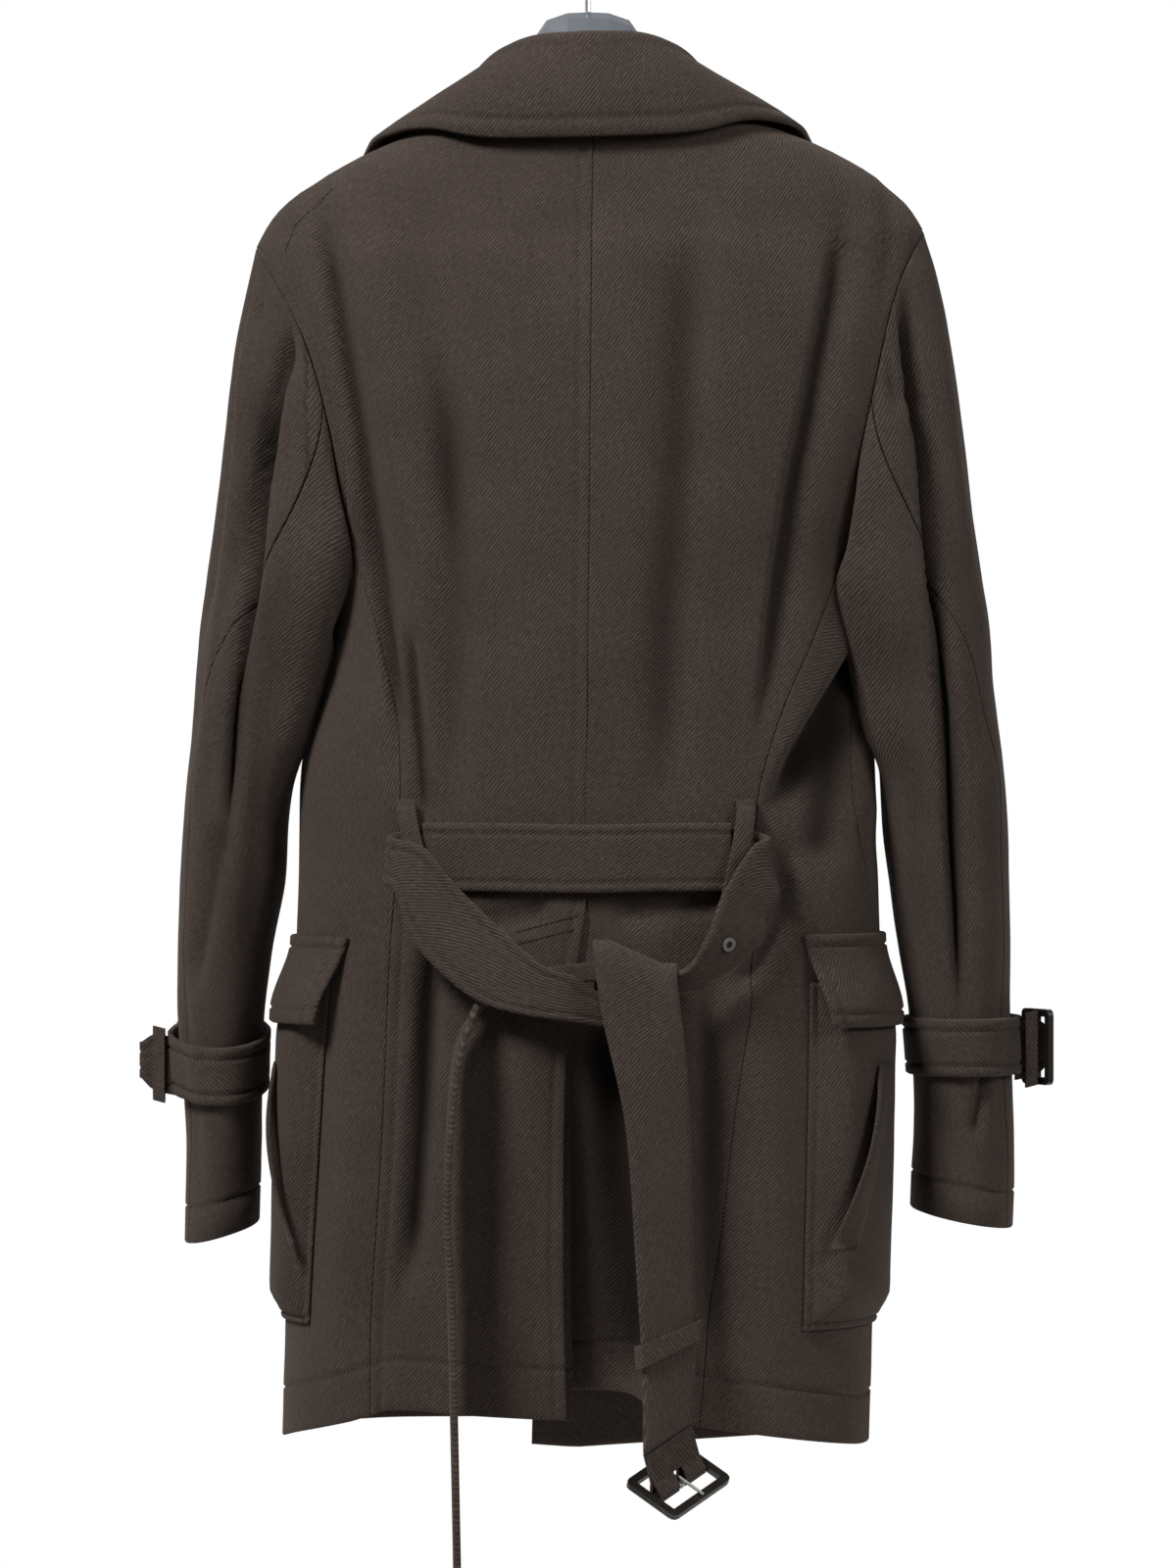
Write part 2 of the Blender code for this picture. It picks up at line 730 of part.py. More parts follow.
def neck_place(turn):
    """The neckline's point under the collar."""
    height = neck_height(turn)
    half = max(read(BODY, "half_width", height), NECK_HALF)
    around = math.degrees(math.asin(min(NECK_HALF * abs(math.sin(math.radians(turn))) / half, 1.0)))
    around = around if abs(turn) <= 90 else 180 - around
    return body_point(math.copysign(around, turn), height, -CLOTH / 2)


def collar_surface(turn, along):
    """The collar's middle layer, from the neckline up the stand, over the fold and down the fall."""
    station = abs(turn)
    rise = COLLAR_SEAT + 3.4 * smooth(station, 80, 100) + 4.0 * smooth(station, 120, 165)
    foot = neck_place(turn) + Vector((0, 0, rise * MM))
    inward = -Vector((foot.x, foot.y, 0)).normalized()
    lean, stand = read(COLLAR, "lean", station), read(COLLAR, "stand", station)
    crown = foot + inward * lean * MM + Vector((0, 0, (stand - COLLAR_FOLD_RADIUS) * MM))
    edge = body_point(turn, read(COLLAR, "edge_height", station), read(COLLAR, "edge_out", station))
    if along < 0.26:
        return foot.lerp(crown, along / 0.26)
    middle = crown - inward * COLLAR_FOLD_RADIUS * MM
    if along < 0.46:
        angle = math.pi * (along - 0.26) / 0.2
        swing = inward * math.cos(angle) + Vector((0, 0, math.sin(angle)))
        return middle + swing * COLLAR_FOLD_RADIUS * MM
    start = middle - inward * COLLAR_FOLD_RADIUS * MM
    part = (along - 0.46) / 0.54
    point = start.lerp(edge, part) - inward * 5 * MM * math.sin(math.pi * part)
    top = body_top(point.x / MM, point.y / MM)
    if top is not None:
        least = (top + COLLAR_CLEAR + COLLAR_THICK / 2 - HANG_HEIGHT) * MM
        point.z = max(point.z, least)
    return point


def collar():
    def surface(across, along, face):
        turn = mix(-COLLAR_END, COLLAR_END, across)
        out = COLLAR_THICK * (face - 0.5)
        return out_of(collar_surface, turn, along, out, (2.0, 0.02))

    return sheet("collar", surface, COLLAR_COLUMNS, COLLAR_ROWS, wool())


def pocket_rise(cut, across, along):
    """How far a pocket's outer face stands off the coat: bellows that ease to the sewn edges."""
    turn = mix(cut.rear, cut.front, across)
    stand = mix(BELLOWS, BELLOWS_SIDE, smooth(turn, cut.rear + 12, SLEEVE_SIDE_TURN))
    near = min(across, 1 - across) / BELLOWS_SLOPE
    low = along / (BELLOWS_SLOPE * 0.6)
    mouth = 1 - MOUTH_EASE * smooth(along, 0.82, 1)
    return LAID_ON + CLOTH + stand * smooth(min(near, low), 0, 1) * mouth


def pocket(word, cut):
    def surface(across, along, face):
        rise = pocket_rise(cut, across, along)
        out = rise if face else max(rise - CLOTH, LAID_ON)
        turn = mix(cut.rear, cut.front, across)
        height = mix(cut.bottom, cut.top, along)
        return body_point(cut.side * turn, height, out)

    return sheet(f"pocket_{word}", surface, 12, 10, wool())


def flap(word, cut):
    """A pocket's flap: sewn on above the pocket and hanging over its mouth, narrower at the bottom."""

    def surface(across, along, face):
        taper = FLAP_TAPER * along
        turn = mix(cut.flap_rear + taper, cut.flap_front - taper * 0.5, across)
        height = mix(cut.flap_top, cut.flap_bottom, along)
        stand = mix(BELLOWS, BELLOWS_SIDE, smooth(turn, cut.rear + 12, SLEEVE_SIDE_TURN))
        rise = LAID_ON + (stand + CLOTH + 1.2) * smooth(along, 0.06, 0.9)
        out = rise + FLAP_THICK if face else rise
        return body_point(cut.side * turn, height, out)

    return sheet(f"flap_{word}", surface, 10, 6, wool())


def welt(word, cut, line):
    """The slanted lip of a pocket's hand opening, standing off the pocket."""

    def surface(across, along, face):
        turn = mix(line.bottom_turn, line.top_turn, along)
        height = mix(line.bottom_height, line.top_height, along)
        place = (turn - cut.rear) / (cut.front - cut.rear)
        level = (height - cut.bottom) / (cut.top - cut.bottom)
        base = pocket_rise(cut, place, level) + LAID_ON + 0.4
        stand = WELT_STAND * math.sin(math.pi * min(max(along, 0.06), 0.94)) ** 0.7
        thick = math.degrees(WELT_THICK / 140.0) * (face - 0.5)
        return body_point(cut.side * (turn - across * 5 + thick), height, base + across * stand)

    return sheet(f"welt_{word}", surface, 2, 8, wool())


def sleeve_at(side, around, height):
    """How far along a sleeve's column a height lies."""
    top = arm_place(side, around)[1]
    low = CUFF_LEFT if side < 0 else CUFF_RIGHT
    low -= CUFF_DROP * math.cos(math.radians(around - 20))
    return (height - top) / (low - top)


STRAP_SPANS = {-1: (92.0, 440.0), 1: (84.0, 432.0)}


def cuff_strap(side, word, middle):
    """The strap round a cuff, dipping at the back and a little off the sleeve on its outer side."""
    start, end = STRAP_SPANS[side]

    def surface(across, along, face):
        wound = mix(start, end, across)
        around = wound - SLEEVE_TWIST
        dip = STRAP_SAG * math.cos(math.radians(wound)) if side < 0 else 0.0
        height = middle - dip + STRAP_WIDTH * (along - 0.5)
        slack = 3.0 * max(math.sin(math.radians(wound)), 0.0) ** 2
        out = LAID_ON + 0.3 + slack + STRAP_THICK * face
        return sleeve_point(side, around, sleeve_at(side, around, height), out)

    return sheet(f"cuff_strap_{word}", surface, 26, 2, wool())


def cuff_trim(side, word, middle):
    """The strap's free end, its keeper and its buckle, at the outer side of a cuff."""
    rows = SLEEVE_LEFT if side < 0 else SLEEVE_RIGHT
    outer = read(rows, "outer", middle)
    mid_y = read(rows, "middle", middle)
    tip_y = mid_y - 16
    tip_long, tip_half = TIP_LONG, STRAP_WIDTH / 2

    def tip(across, along, face):
        half = tip_half * mix(1.0, 0.62, smooth(along, 0.55, 1.0))
        x = outer + STRAP_TIP_SEAT[side] + tip_long * along
        y = tip_y + 10 * along + STRAP_THICK * (0.5 - face)
        return placed(side * x, y, middle - 4 + half * (across * 2 - 1) + 4 * along)

    def keeper(across, along, face):
        angle = 2 * math.pi * across * 0.985
        half_high, half_thick = tip_half + 3.0, STRAP_THICK / 2 + LAID_ON + 0.4
        grow = KEEPER_THICK * face
        share = (KEEPER_SEAT + KEEPER_WIDTH * along) / tip_long
        x = outer + STRAP_TIP_SEAT[side] + tip_long * share
        square = max(abs(math.cos(angle)), abs(math.sin(angle)))
        z = (half_high + grow) * math.cos(angle) / square
        y = (half_thick + grow) * math.sin(angle) / square
        return placed(side * x, tip_y + 10 * share + y, middle - 4 + 4 * share + z)

    sheet(f"cuff_strap_tip_{word}", tip, 4, 5, wool())
    sheet(f"cuff_keeper_{word}", keeper, 20, 1, wool())
    frame = buckle_frame(f"cuff_buckle_{word}", 50.0, 34.0, 5.0, 4.0, 3.0)
    if side > 0:
        cuff_buckle_open(frame, outer, tip_y, middle)
        return
    around = CUFF_BUCKLE_AROUND - SLEEVE_TWIST
    along = sleeve_at(side, around, middle)
    seat = sleeve_point(side, around, along)
    normal = (sleeve_point(side, around, along, 1.0) - seat).normalized()
    upright = Vector((0, 0, 1))
    upright = (upright - normal * upright.dot(normal)).normalized()
    frame.location = seat + normal * CUFF_BUCKLE_STAND * MM
    frame.rotation_euler = Matrix((upright, normal.cross(upright), normal)).transposed().to_euler()


def cuff_buckle_open(frame, outer, tip_y, middle):
    """The right cuff's buckle: standing out from the cuff, with the strap's end through its near half."""
    turn = math.radians(CUFF_BUCKLE_TURN)
    wide = Vector((math.cos(turn), -math.sin(turn), 0))
    upright = Vector((0, 0, 1))
    normal = upright.cross(wide)
    frame.location = placed(outer + CUFF_BUCKLE_OUT, tip_y + 8 + 6.75 * math.sin(turn), middle - 1.5)
    frame.rotation_euler = Matrix((upright, wide, normal)).transposed().to_euler()


def strip_surface(rows, thick):
    """A belt stretch between its two edges, read smoothly along its run."""
    last = len(rows) - 1

    def edge(column, place):
        at = place * last
        i = min(int(at), last - 1)
        p = at - i
        values = [rows[min(max(k, 0), last)][column] for k in (i - 1, i, i + 1, i + 2)]
        rise, fall = (values[2] - values[0]) / 2, (values[3] - values[1]) / 2
        return (
            values[1] * (1 + 2 * p) * (1 - p) ** 2
            + rise * p * (1 - p) ** 2
            + values[2] * p * p * (3 - 2 * p)
            + fall * p * p * (p - 1)
        )

    def flat(across, along):
        along = min(max(along, 0.0), 1.0)
        first = placed(edge(0, along), edge(1, along), edge(2, along))
        second = placed(edge(3, along), edge(4, along), edge(5, along))
        return first.lerp(second, across)

    def surface(across, along, face, more=0.0):
        point = flat(across, along)
        wide = flat(1.0, along) - flat(0.0, along)
        run = flat(across, along + 0.01) - flat(across, along - 0.01)
        return point + wide.cross(run).normalized() * (thick + more) * (face - 0.5) * MM

    return surface


def belt():
    stretches = (
        ("belt_back", BELT_BACK, 3, 10),
        ("belt_drop_left", DROP_LEFT, 3, 18),
        ("belt_drop_right", DROP_RIGHT, 3, 18),
        ("belt_tail_buckle", TAIL_BUCKLE, 3, 26),
        ("belt_tail_plain", TAIL_PLAIN, 2, 20),
    )
    for name, rows, columns, steps in stretches:
        sheet(name, strip_surface(rows, BELT_THICK), columns, steps, wool())


def belt_loops():
    """Short strips from the princess seams, standing off over the belt."""
    for side, word in ((-1, "left"), (1, "right")):
        start = -116.0 if side < 0 else 101.0
        low = -97.0 if side < 0 else 88.0

        def surface(across, along, face):
            height = mix(422, 346, along)
            x = mix(start, low, along) + LOOP_WIDTH * (across - 0.5)
            stand = LAID_ON + LOOP_STAND * math.sin(math.pi * min(max(along * 1.05, 0), 1)) ** 0.5
            return body_point(turn_at(x, height), height, stand + LOOP_THICK * face)

        sheet(f"belt_loop_{word}", surface, 2, 9, wool())


def belt_keeper():
    """The narrow loop of cloth round the buckle tail."""
    tail = strip_surface(TAIL_BUCKLE, BELT_THICK)

    def surface(across, along, face):
        angle = 2 * math.pi * across * 0.985
        place = KEEPER_PLACE + 0.028 * (along - 0.5)
        low, high = tail(0.0, place, 0.5), tail(1.0, place, 0.5)
        wide = (high - low).normalized()
        ahead = (tail(0.5, place, 1.0) - tail(0.5, place, 0.0)).normalized()
        half = (high - low).length / 2 + (1.2 + KEEPER_THICK * face) * MM
        thick = (BELT_THICK / 2 + 0.7 + KEEPER_THICK * face) * MM
        c, s = math.cos(angle), math.sin(angle)
        square = max(abs(c), abs(s))
        return (low + high) / 2 + wide * half * c / square + ahead * thick * s / square

    return sheet("belt_keeper", surface, 24, 1, wool())


def buckle_frame(name, long, wide, rail, thick, bar):
    """A rectangular frame with a bar across its middle, in its own plane, its bar along X."""
    bm = bmesh.new()
    bmesh.ops.create_grid(bm, x_segments=3, y_segments=5, size=0.5)
    xs = (-long / 2, -long / 2 + rail, long / 2 - rail, long / 2)
    ys = (-wide / 2, -wide / 2 + rail, -bar / 2, bar / 2, wide / 2 - rail, wide / 2)
    holes = []
    for face in bm.faces:
        centre = face.calc_center_median()
        column, row = int((centre.x + 0.5) * 3), int((centre.y + 0.5) * 5)
        if column == 1 and row in (1, 3):
            holes.append(face)
    for vert in bm.verts:
        x = xs[round((vert.co.x + 0.5) * 3)]
        y = ys[round((vert.co.y + 0.5) * 5)]
        vert.co = Vector((x * MM, y * MM, -thick / 2 * MM))
    bmesh.ops.delete(bm, geom=holes, context="FACES")
    corners = [v for v in bm.verts if abs(v.co.x) > (long / 2 - 0.1) * MM and abs(v.co.y) > (wide / 2 - 0.1) * MM]
    grown = bmesh.ops.extrude_face_region(bm, geom=bm.faces[:])
    raised = [v for v in grown["geom"] if isinstance(v, bmesh.types.BMVert)]
    bmesh.ops.translate(bm, verts=raised, vec=(0, 0, thick * MM))
    upright = [e for v in corners for e in v.link_edges if abs(e.verts[0].co.z - e.verts[1].co.z) > thick / 2 * MM]
    bmesh.ops.bevel(
        bm, geom=upright, offset=rail * 0.8 * MM, segments=3, profile=0.5, affect="EDGES", clamp_overlap=True
    )
    return add_object(name, bm, leather())


def buckle_axes():
    along, across = Vector(BUCKLE_ALONG).normalized(), Vector(BUCKLE_ACROSS).normalized()
    return along, across, along.cross(across).normalized()


def belt_buckle():
    """The belt's buckle: frame and bar, prong on the bar, and the belt's end folded round the bar."""
    along, across, above = buckle_axes()
    turned = Matrix((along, across, above)).transposed()
    middle = placed(*BUCKLE_MIDDLE)
    frame = buckle_frame("belt_buckle_frame", FRAME_LONG, FRAME_WIDE, FRAME_RAIL, FRAME_THICK, BAR_WIDE)
    frame.location = middle
    frame.rotation_euler = turned.to_euler()
    pin = prong()
    pin.location = middle
    pin.rotation_euler = turned.to_euler()
    belt_end_fold(middle, along)


def prong():
    """A pin with a ring round the bar, lying on the frame's upper side."""
    bm = bmesh.new()
    reach = FRAME_WIDE / 2 - 1.0
    lift = PRONG_RING - 0.1
    bmesh.ops.create_grid(bm, x_segments=16, y_segments=8, size=0.5)
    for vert in bm.verts:
        ring = 2 * math.pi * (vert.co.x + 0.5)
        wire = 2 * math.pi * (vert.co.y + 0.5)
        radius = PRONG_RING + PRONG_WIRE * math.cos(wire)
        side = PRONG_WIRE * math.sin(wire)
        vert.co = Vector((side, radius * math.cos(ring), radius * math.sin(ring))) * MM
    bmesh.ops.remove_doubles(bm, verts=bm.verts[:], dist=1e-6)
    ring = add_object("belt_buckle_prong", bm, metal())
    bm = bmesh.new()
    bmesh.ops.create_cone(
        bm, cap_ends=True, segments=8, radius1=PRONG_WIRE * 1.05 * MM, radius2=PRONG_WIRE * 0.9 * MM, depth=reach * MM
    )
    lie = Matrix.Rotation(math.radians(-90), 4, "X")
    bmesh.ops.transform(bm, matrix=lie, verts=bm.verts[:])
    bmesh.ops.translate(bm, verts=bm.verts[:], vec=(0, reach / 2 * MM, -lift * MM))
    rod = add_object("prong_rod_shape", bm, metal())
    rod.hide_render = True
    rod.display_type = "WIRE"
    join = ring.modifiers.new("rod", "BOOLEAN")
    join.operation = "UNION"
    join.object = rod
    rod.parent = ring
    return ring


def belt_end_fold(middle, along):
    """The belt's end: one layer down, round the bar and up again, slotted for the prong."""
    down = Vector((0, 0, -1))
    down = (down - along * down.dot(along)).normalized()
    ahead = along.cross(down).normalized()
    round_bar = LOOP_INNER + FOLD_LAYER / 2
    pair = FOLD_LAYER / 2 + 0.2
    path = (
        (-FOLD_HIGH, pair),
        (-FOLD_HIGH * 0.6, pair),
        (-9.0, pair + 0.2),
        (-4.5, round_bar * 0.72),
        (0.0, round_bar),
        (round_bar * 0.74, round_bar * 0.72),
        (round_bar, 0.0),
        (round_bar * 0.74, -round_bar * 0.72),
        (0.0, -round_bar),
        (-4.5, -round_bar * 0.72),
        (-9.0, -pair - 0.2),
        (-FOLD_HIGH * 0.6, -pair),
        (-FOLD_HIGH, -pair),
    )
    steps = len(path) - 1
    columns = 5
    shares = (0, 0.25, 0.5 - PRONG_SLOT, 0.5 + PRONG_SLOT, 0.75, 1)

    def surface(across, step, face):
        i = round(step * steps)
        here = path[i]
        before, after = path[max(i - 1, 0)], path[min(i + 1, steps)]
        run = Vector((after[0] - before[0], after[1] - before[1])).normalized()
        out = FOLD_LAYER * (face - 0.5)
        fall, lift = here[0] + run.y * out, here[1] - run.x * out
        wide = FOLD_WIDE * (shares[round(across * columns)] - 0.5)
        return middle + (along * wide + down * fall - ahead * lift) * MM

    def slot(across, step):
        return 0.4 < across < 0.6 and 0.16 < step < 0.84

    return sheet("belt_end_fold", surface, columns, steps, wool(), slot)


def eyelet():
    """A metal eyelet set in the right drop of the belt."""
    drop = strip_surface(DROP_RIGHT, BELT_THICK)
    ahead = (drop(*EYELET_PLACE, 1.0) - drop(*EYELET_PLACE, 0.0)).normalized()
    viewer = ahead if ahead.y < 0 else -ahead
    centre = drop(*EYELET_PLACE, 0.5) + viewer * (BELT_THICK / 2 + EYELET_SEAT) * MM
    bm = bmesh.new()
    bmesh.ops.create_circle(bm, cap_ends=False, segments=16, radius=EYELET_INNER * MM)
    loop = bm.edges[:]
    grown = bmesh.ops.extrude_edge_only(bm, edges=loop)
    outer = [v for v in grown["geom"] if isinstance(v, bmesh.types.BMVert)]
    bmesh.ops.scale(bm, vec=Vector((1, 1, 1)) * EYELET_OUTER / EYELET_INNER, verts=outer)
    raised = bmesh.ops.extrude_face_region(bm, geom=bm.faces[:])
    top = [v for v in raised["geom"] if isinstance(v, bmesh.types.BMVert)]
    bmesh.ops.translate(bm, verts=top, vec=(0, 0, EYELET_THICK * MM))
    obj = add_object("belt_eyelet", bm, metal())
    obj.location = centre
    obj.rotation_euler = viewer.to_track_quat("Z", "Y").to_euler()


def buttons():
    """A row of buttons down the outer front's edge."""
    for number, height in enumerate(BUTTON_HEIGHTS, start=1):
        turn = -(180 + math.degrees(math.asin(BUTTON_SIDEWAYS / read(BODY, "half_width", height))))
        face = body_point(turn, height, 0)
        out = (body_point(turn, height, 1) - face).normalized()
        bm = bmesh.new()
        bmesh.ops.create_cone(
            bm,
            cap_ends=True,
            segments=20,
            radius1=BUTTON_RADIUS * MM,
            radius2=BUTTON_RADIUS * 0.9 * MM,
            depth=BUTTON_THICK * MM,
        )
        obj = add_object(f"button_{number}", bm, horn())
        obj.location = face + out * (BUTTON_THICK / 2 + LAID_ON) * MM
        obj.rotation_euler = out.to_track_quat("Z", "Y").to_euler()


def hanger():
    """The moulded hanger: arms under the shoulder seams and a raised neck between them."""
    bm = bmesh.new()
    bmesh.ops.create_uvsphere(bm, u_segments=12, v_segments=30, radius=1.0)
    for vert in bm.verts:
        place = 2 * math.acos(min(max(vert.co.z, -1), 1)) / math.pi - 1
        around = math.atan2(vert.co.y, vert.co.x)
        end = math.sqrt(max(1 - place ** 16, 0.0))
        x = HANGER_REACH * place
        top, depth = read(HANGER, "top", abs(x)), read(HANGER, "depth", abs(x))
        low = min(top - HANGER_FALL, 866.0 - 0.1 * abs(x))
        if abs(x) > 100:
            low = top - HANGER_FALL
        half = (top - low) / 2
        y = depth * end * math.cos(around)
        height = (top + low) / 2 + half * end * math.sin(around) + x * SHOULDER_TILT * smooth(abs(x), 60, 140)
        vert.co = placed(x, y, height)
    add_object("hanger", bm, plastic())


def hook():
    """A plain wire hook; its inner top is the origin."""
    centre = -(HOOK_RADIUS - HOOK_WIRE) * MM
    foot = (HANGER[0].top - HANG_HEIGHT + SEAM) * MM
    points = [(0, foot), (0, foot + 14 * MM), (0.003, foot + 22 * MM)]
    for step in range(17):
        angle = math.radians(mix(-58, 200, step / 16))
        points.append((HOOK_RADIUS * MM * math.cos(angle), centre + HOOK_RADIUS * MM * math.sin(angle)))
    curve = bpy.data.curves.new("hanger_hook", "CURVE")
    curve.dimensions = "3D"
    curve.bevel_depth = HOOK_WIRE * MM
    curve.bevel_resolution = 2
    curve.use_fill_caps = True
    spline = curve.splines.new("POLY")
    spline.points.add(len(points) - 1)
    for point, (x, z) in zip(spline.points, points):
        point.co = (x, 0, z, 1)
    curve.materials.append(steel())
    obj = bpy.data.objects.new("hanger_hook", curve)
    bpy.context.scene.collection.objects.link(obj)


def main():
    for obj in list(bpy.data.objects):
        bpy.data.objects.remove(obj)
    for side in (-1, 1):
        back_panel(side)
        side_panel(side)
        front_panel(side)
    sleeves()
    collar()
    for word, cut in POCKETS.items():
        pocket(word, cut)
        flap(word, cut)
        welt(word, cut, WELTS[word])
    for side, word, middle in ((-1, "left", STRAP_LEFT), (1, "right", STRAP_RIGHT)):
        cuff_strap(side, word, middle)
        cuff_trim(side, word, middle)
    belt()
    belt_loops()
    belt_keeper()
    belt_buckle()
    eyelet()
    buttons()
    hanger()
    hook()


if __name__ == "__main__":
    main()
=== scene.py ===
"""Looks of the moto coat: cloth shells with their creases and stitching, finishes, light and camera.

Lengths in tables and sizes are in millimetres unless a name says otherwise, and points are placed in metres.
Heights run up from the side hem; the coat's back faces -Y and the origin is the hook's bearing point.
"""

import logging
import math
from dataclasses import dataclass, field
from enum import Enum
from typing import Any, Callable, NamedTuple, Sequence

import bmesh
import bpy
from mathutils import Matrix, Vector, noise
from mathutils.kdtree import KDTree


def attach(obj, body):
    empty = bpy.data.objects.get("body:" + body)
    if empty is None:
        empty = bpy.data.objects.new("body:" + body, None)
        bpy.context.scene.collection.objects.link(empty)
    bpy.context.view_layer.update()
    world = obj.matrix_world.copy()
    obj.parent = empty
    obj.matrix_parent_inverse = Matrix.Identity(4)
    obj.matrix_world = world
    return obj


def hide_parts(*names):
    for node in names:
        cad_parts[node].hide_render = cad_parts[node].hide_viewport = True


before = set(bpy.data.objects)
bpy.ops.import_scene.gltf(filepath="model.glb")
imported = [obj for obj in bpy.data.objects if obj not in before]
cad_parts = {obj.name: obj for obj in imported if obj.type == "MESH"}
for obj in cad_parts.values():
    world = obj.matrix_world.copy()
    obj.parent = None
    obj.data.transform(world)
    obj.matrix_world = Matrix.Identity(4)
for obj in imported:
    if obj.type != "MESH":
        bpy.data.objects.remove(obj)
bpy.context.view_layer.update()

LOG = logging.getLogger("moto_coat")

MM = 0.001
# Height of the hook's bearing point above the side hem.
HANG_HEIGHT = 1002.0
# Thickness of the cloth, the gap at a seam, and the gap under a piece that is laid on.
CLOTH = 2.2
SEAM = 0.3
LAID_ON = 0.6
# How far the cloth is drawn over at the right armhole.
SLIDE = 10.0
# The CAD body that the cloth rides on.
ROOT = "coat"


class Side(Enum):
    """A side of the coat as the photo shows it: the sign of its X."""

    LEFT = -1
    RIGHT = 1

    @property
    def word(self) -> str:
        """The side's name in piece names."""
        return self.name.lower()


class Grain(Enum):
    """Which way a piece's twill lines lean, as the cloth was turned for cutting."""

    BODY = 1
    ACROSS = -1


def smooth(value: float, low: float, high: float) -> float:
    """An even rise from 0 at low to 1 at high.

    Args:
        value: where to read it.
        low: where the rise starts.
        high: where it ends.

    Returns:
        A share from 0 to 1.
    """
    part = min(max((value - low) / (high - low), 0.0), 1.0)
    return part * part * (3 - 2 * part)


def mix(first: float, second: float, part: float) -> float:
    """The value a part of the way from first to second."""
    return first + (second - first) * part


def placed(x: float, y: float, height: float) -> Vector:
    """A point in metres below the hook, from millimetres above the side hem."""
    return Vector((x * MM, y * MM, (height - HANG_HEIGHT) * MM))


def height_of(point: Vector) -> float:
    """A point's height above the side hem, in millimetres."""
    return point.z / MM + HANG_HEIGHT


class Table:
    """Rows of named columns, read smoothly along the first one."""

    def __init__(self, rows: Sequence[NamedTuple]) -> None:
        """Keeps each column as a plain list."""
        self.at: list[float] = [float(row[0]) for row in rows]
        self.columns: dict[str, list[float]] = {
            name: [float(getattr(row, name)) for row in rows] for name in rows[0]._fields
        }

    def read(self, column: str, at: float) -> float:
        """A column's value at a place along the first column.

        Args:
            column: the column's name.
            at: the place, held inside the table's ends.

        Returns:
            The value on a smooth curve through the rows.
        """
        keys, values = self.at, self.columns[column]
        last = len(keys) - 1
        if at <= keys[0]:
            return values[0]
        if at >= keys[last]:
            return values[last]
        i = 0
        while keys[i + 1] <= at:
            i += 1
        span = keys[i + 1] - keys[i]
        before, after = max(i - 1, 0), min(i + 2, last)
        rise = (values[i + 1] - values[before]) / (keys[i + 1] - keys[before]) * span
        fall = (values[after] - values[i]) / (keys[after] - keys[i]) * span
        p = (at - keys[i]) / span
        q = 1 - p
        return (
            values[i] * (1 + 2 * p) * q * q
            + rise * p * q * q
            + values[i + 1] * p * p * (3 - 2 * p)
            + fall * p * p * (p - 1)
        )


class Ring(NamedTuple):
    """The body's section at a height."""

    height: float
    middle: float
    half_width: float
    back: float
    front: float


BODY_RINGS = Table(
    (
        Ring(-40, -9, 193, 108, 112),
        Ring(0, -8, 193, 107, 110),
        Ring(80, -6, 193, 106, 109),
        Ring(200, -3, 193, 104, 106),
        Ring(330, 0, 192, 101, 102),
        Ring(385, 0, 190, 99, 100),
        Ring(450, -2, 186, 99, 99),
        Ring(505, 0, 174, 100, 98),
        Ring(567, 0, 168, 100, 97),
        Ring(620, 1, 186, 99, 95),
        Ring(680, 1, 208, 97, 91),
        Ring(735, 1, 218, 91, 83),
        Ring(775, 1, 221, 83, 73),
        Ring(791, 1, 219, 77, 66),
        Ring(818, 0, 199, 71, 62),
        Ring(844, 0, 158, 66, 59),
        Ring(860, 0, 121, 64, 58),
        Ring(876, 0, 78, 62, 58),
    )
)


class Fold(NamedTuple):
    """A large soft fold that runs between two heights; a trough has a negative depth."""

    bottom: float
    top: float
    turn_bottom: float
    turn_top: float
    spread: float
    depth: float


BODY_FOLDS = (
    Fold(-20, 300, 7, 3, 5, -7.0),
    Fold(-20, 330, 24, 20, 6, 3.0),
    Fold(-20, 420, 140, 145, 9, 4.0),
    Fold(-20, 420, -140, -146, 9, 4.0),
    Fold(430, 700, 128, 124, 9, -4.0),
    Fold(430, 700, -128, -124, 9, -4.0),
)
SLEEVE_FOLDS = (
    Fold(430, 770, 48, 40, 13, -5.0),
    Fold(430, 760, 15, 12, 13, 3.0),
    Fold(300, 540, -35, -20, 16, -3.5),
    Fold(150, 330, 30, 60, 15, -3.0),
    Fold(160, 420, 200, 190, 16, -3.0),
)


def push_of(folds: Sequence[Fold], turn: float, height: float) -> float:
    """How far the large folds move the cloth out at a place.

    Args:
        folds: the folds of the form.
        turn: degrees round the form.
        height: height of the place.

    Returns:
        Millimetres outward.
    """
    total = 0.0
    for fold in folds:
        if not fold.bottom < height < fold.top:
            continue
        fade = smooth(height, fold.bottom, fold.bottom + 60) * (1 - smooth(height, fold.top - 60, fold.top))
        along = (height - fold.bottom) / (fold.top - fold.bottom)
        away = (turn - mix(fold.turn_bottom, fold.turn_top, along)) / fold.spread
        if abs(away) < 4:
            total += fold.depth * fade * math.exp(-away * away)
    return total


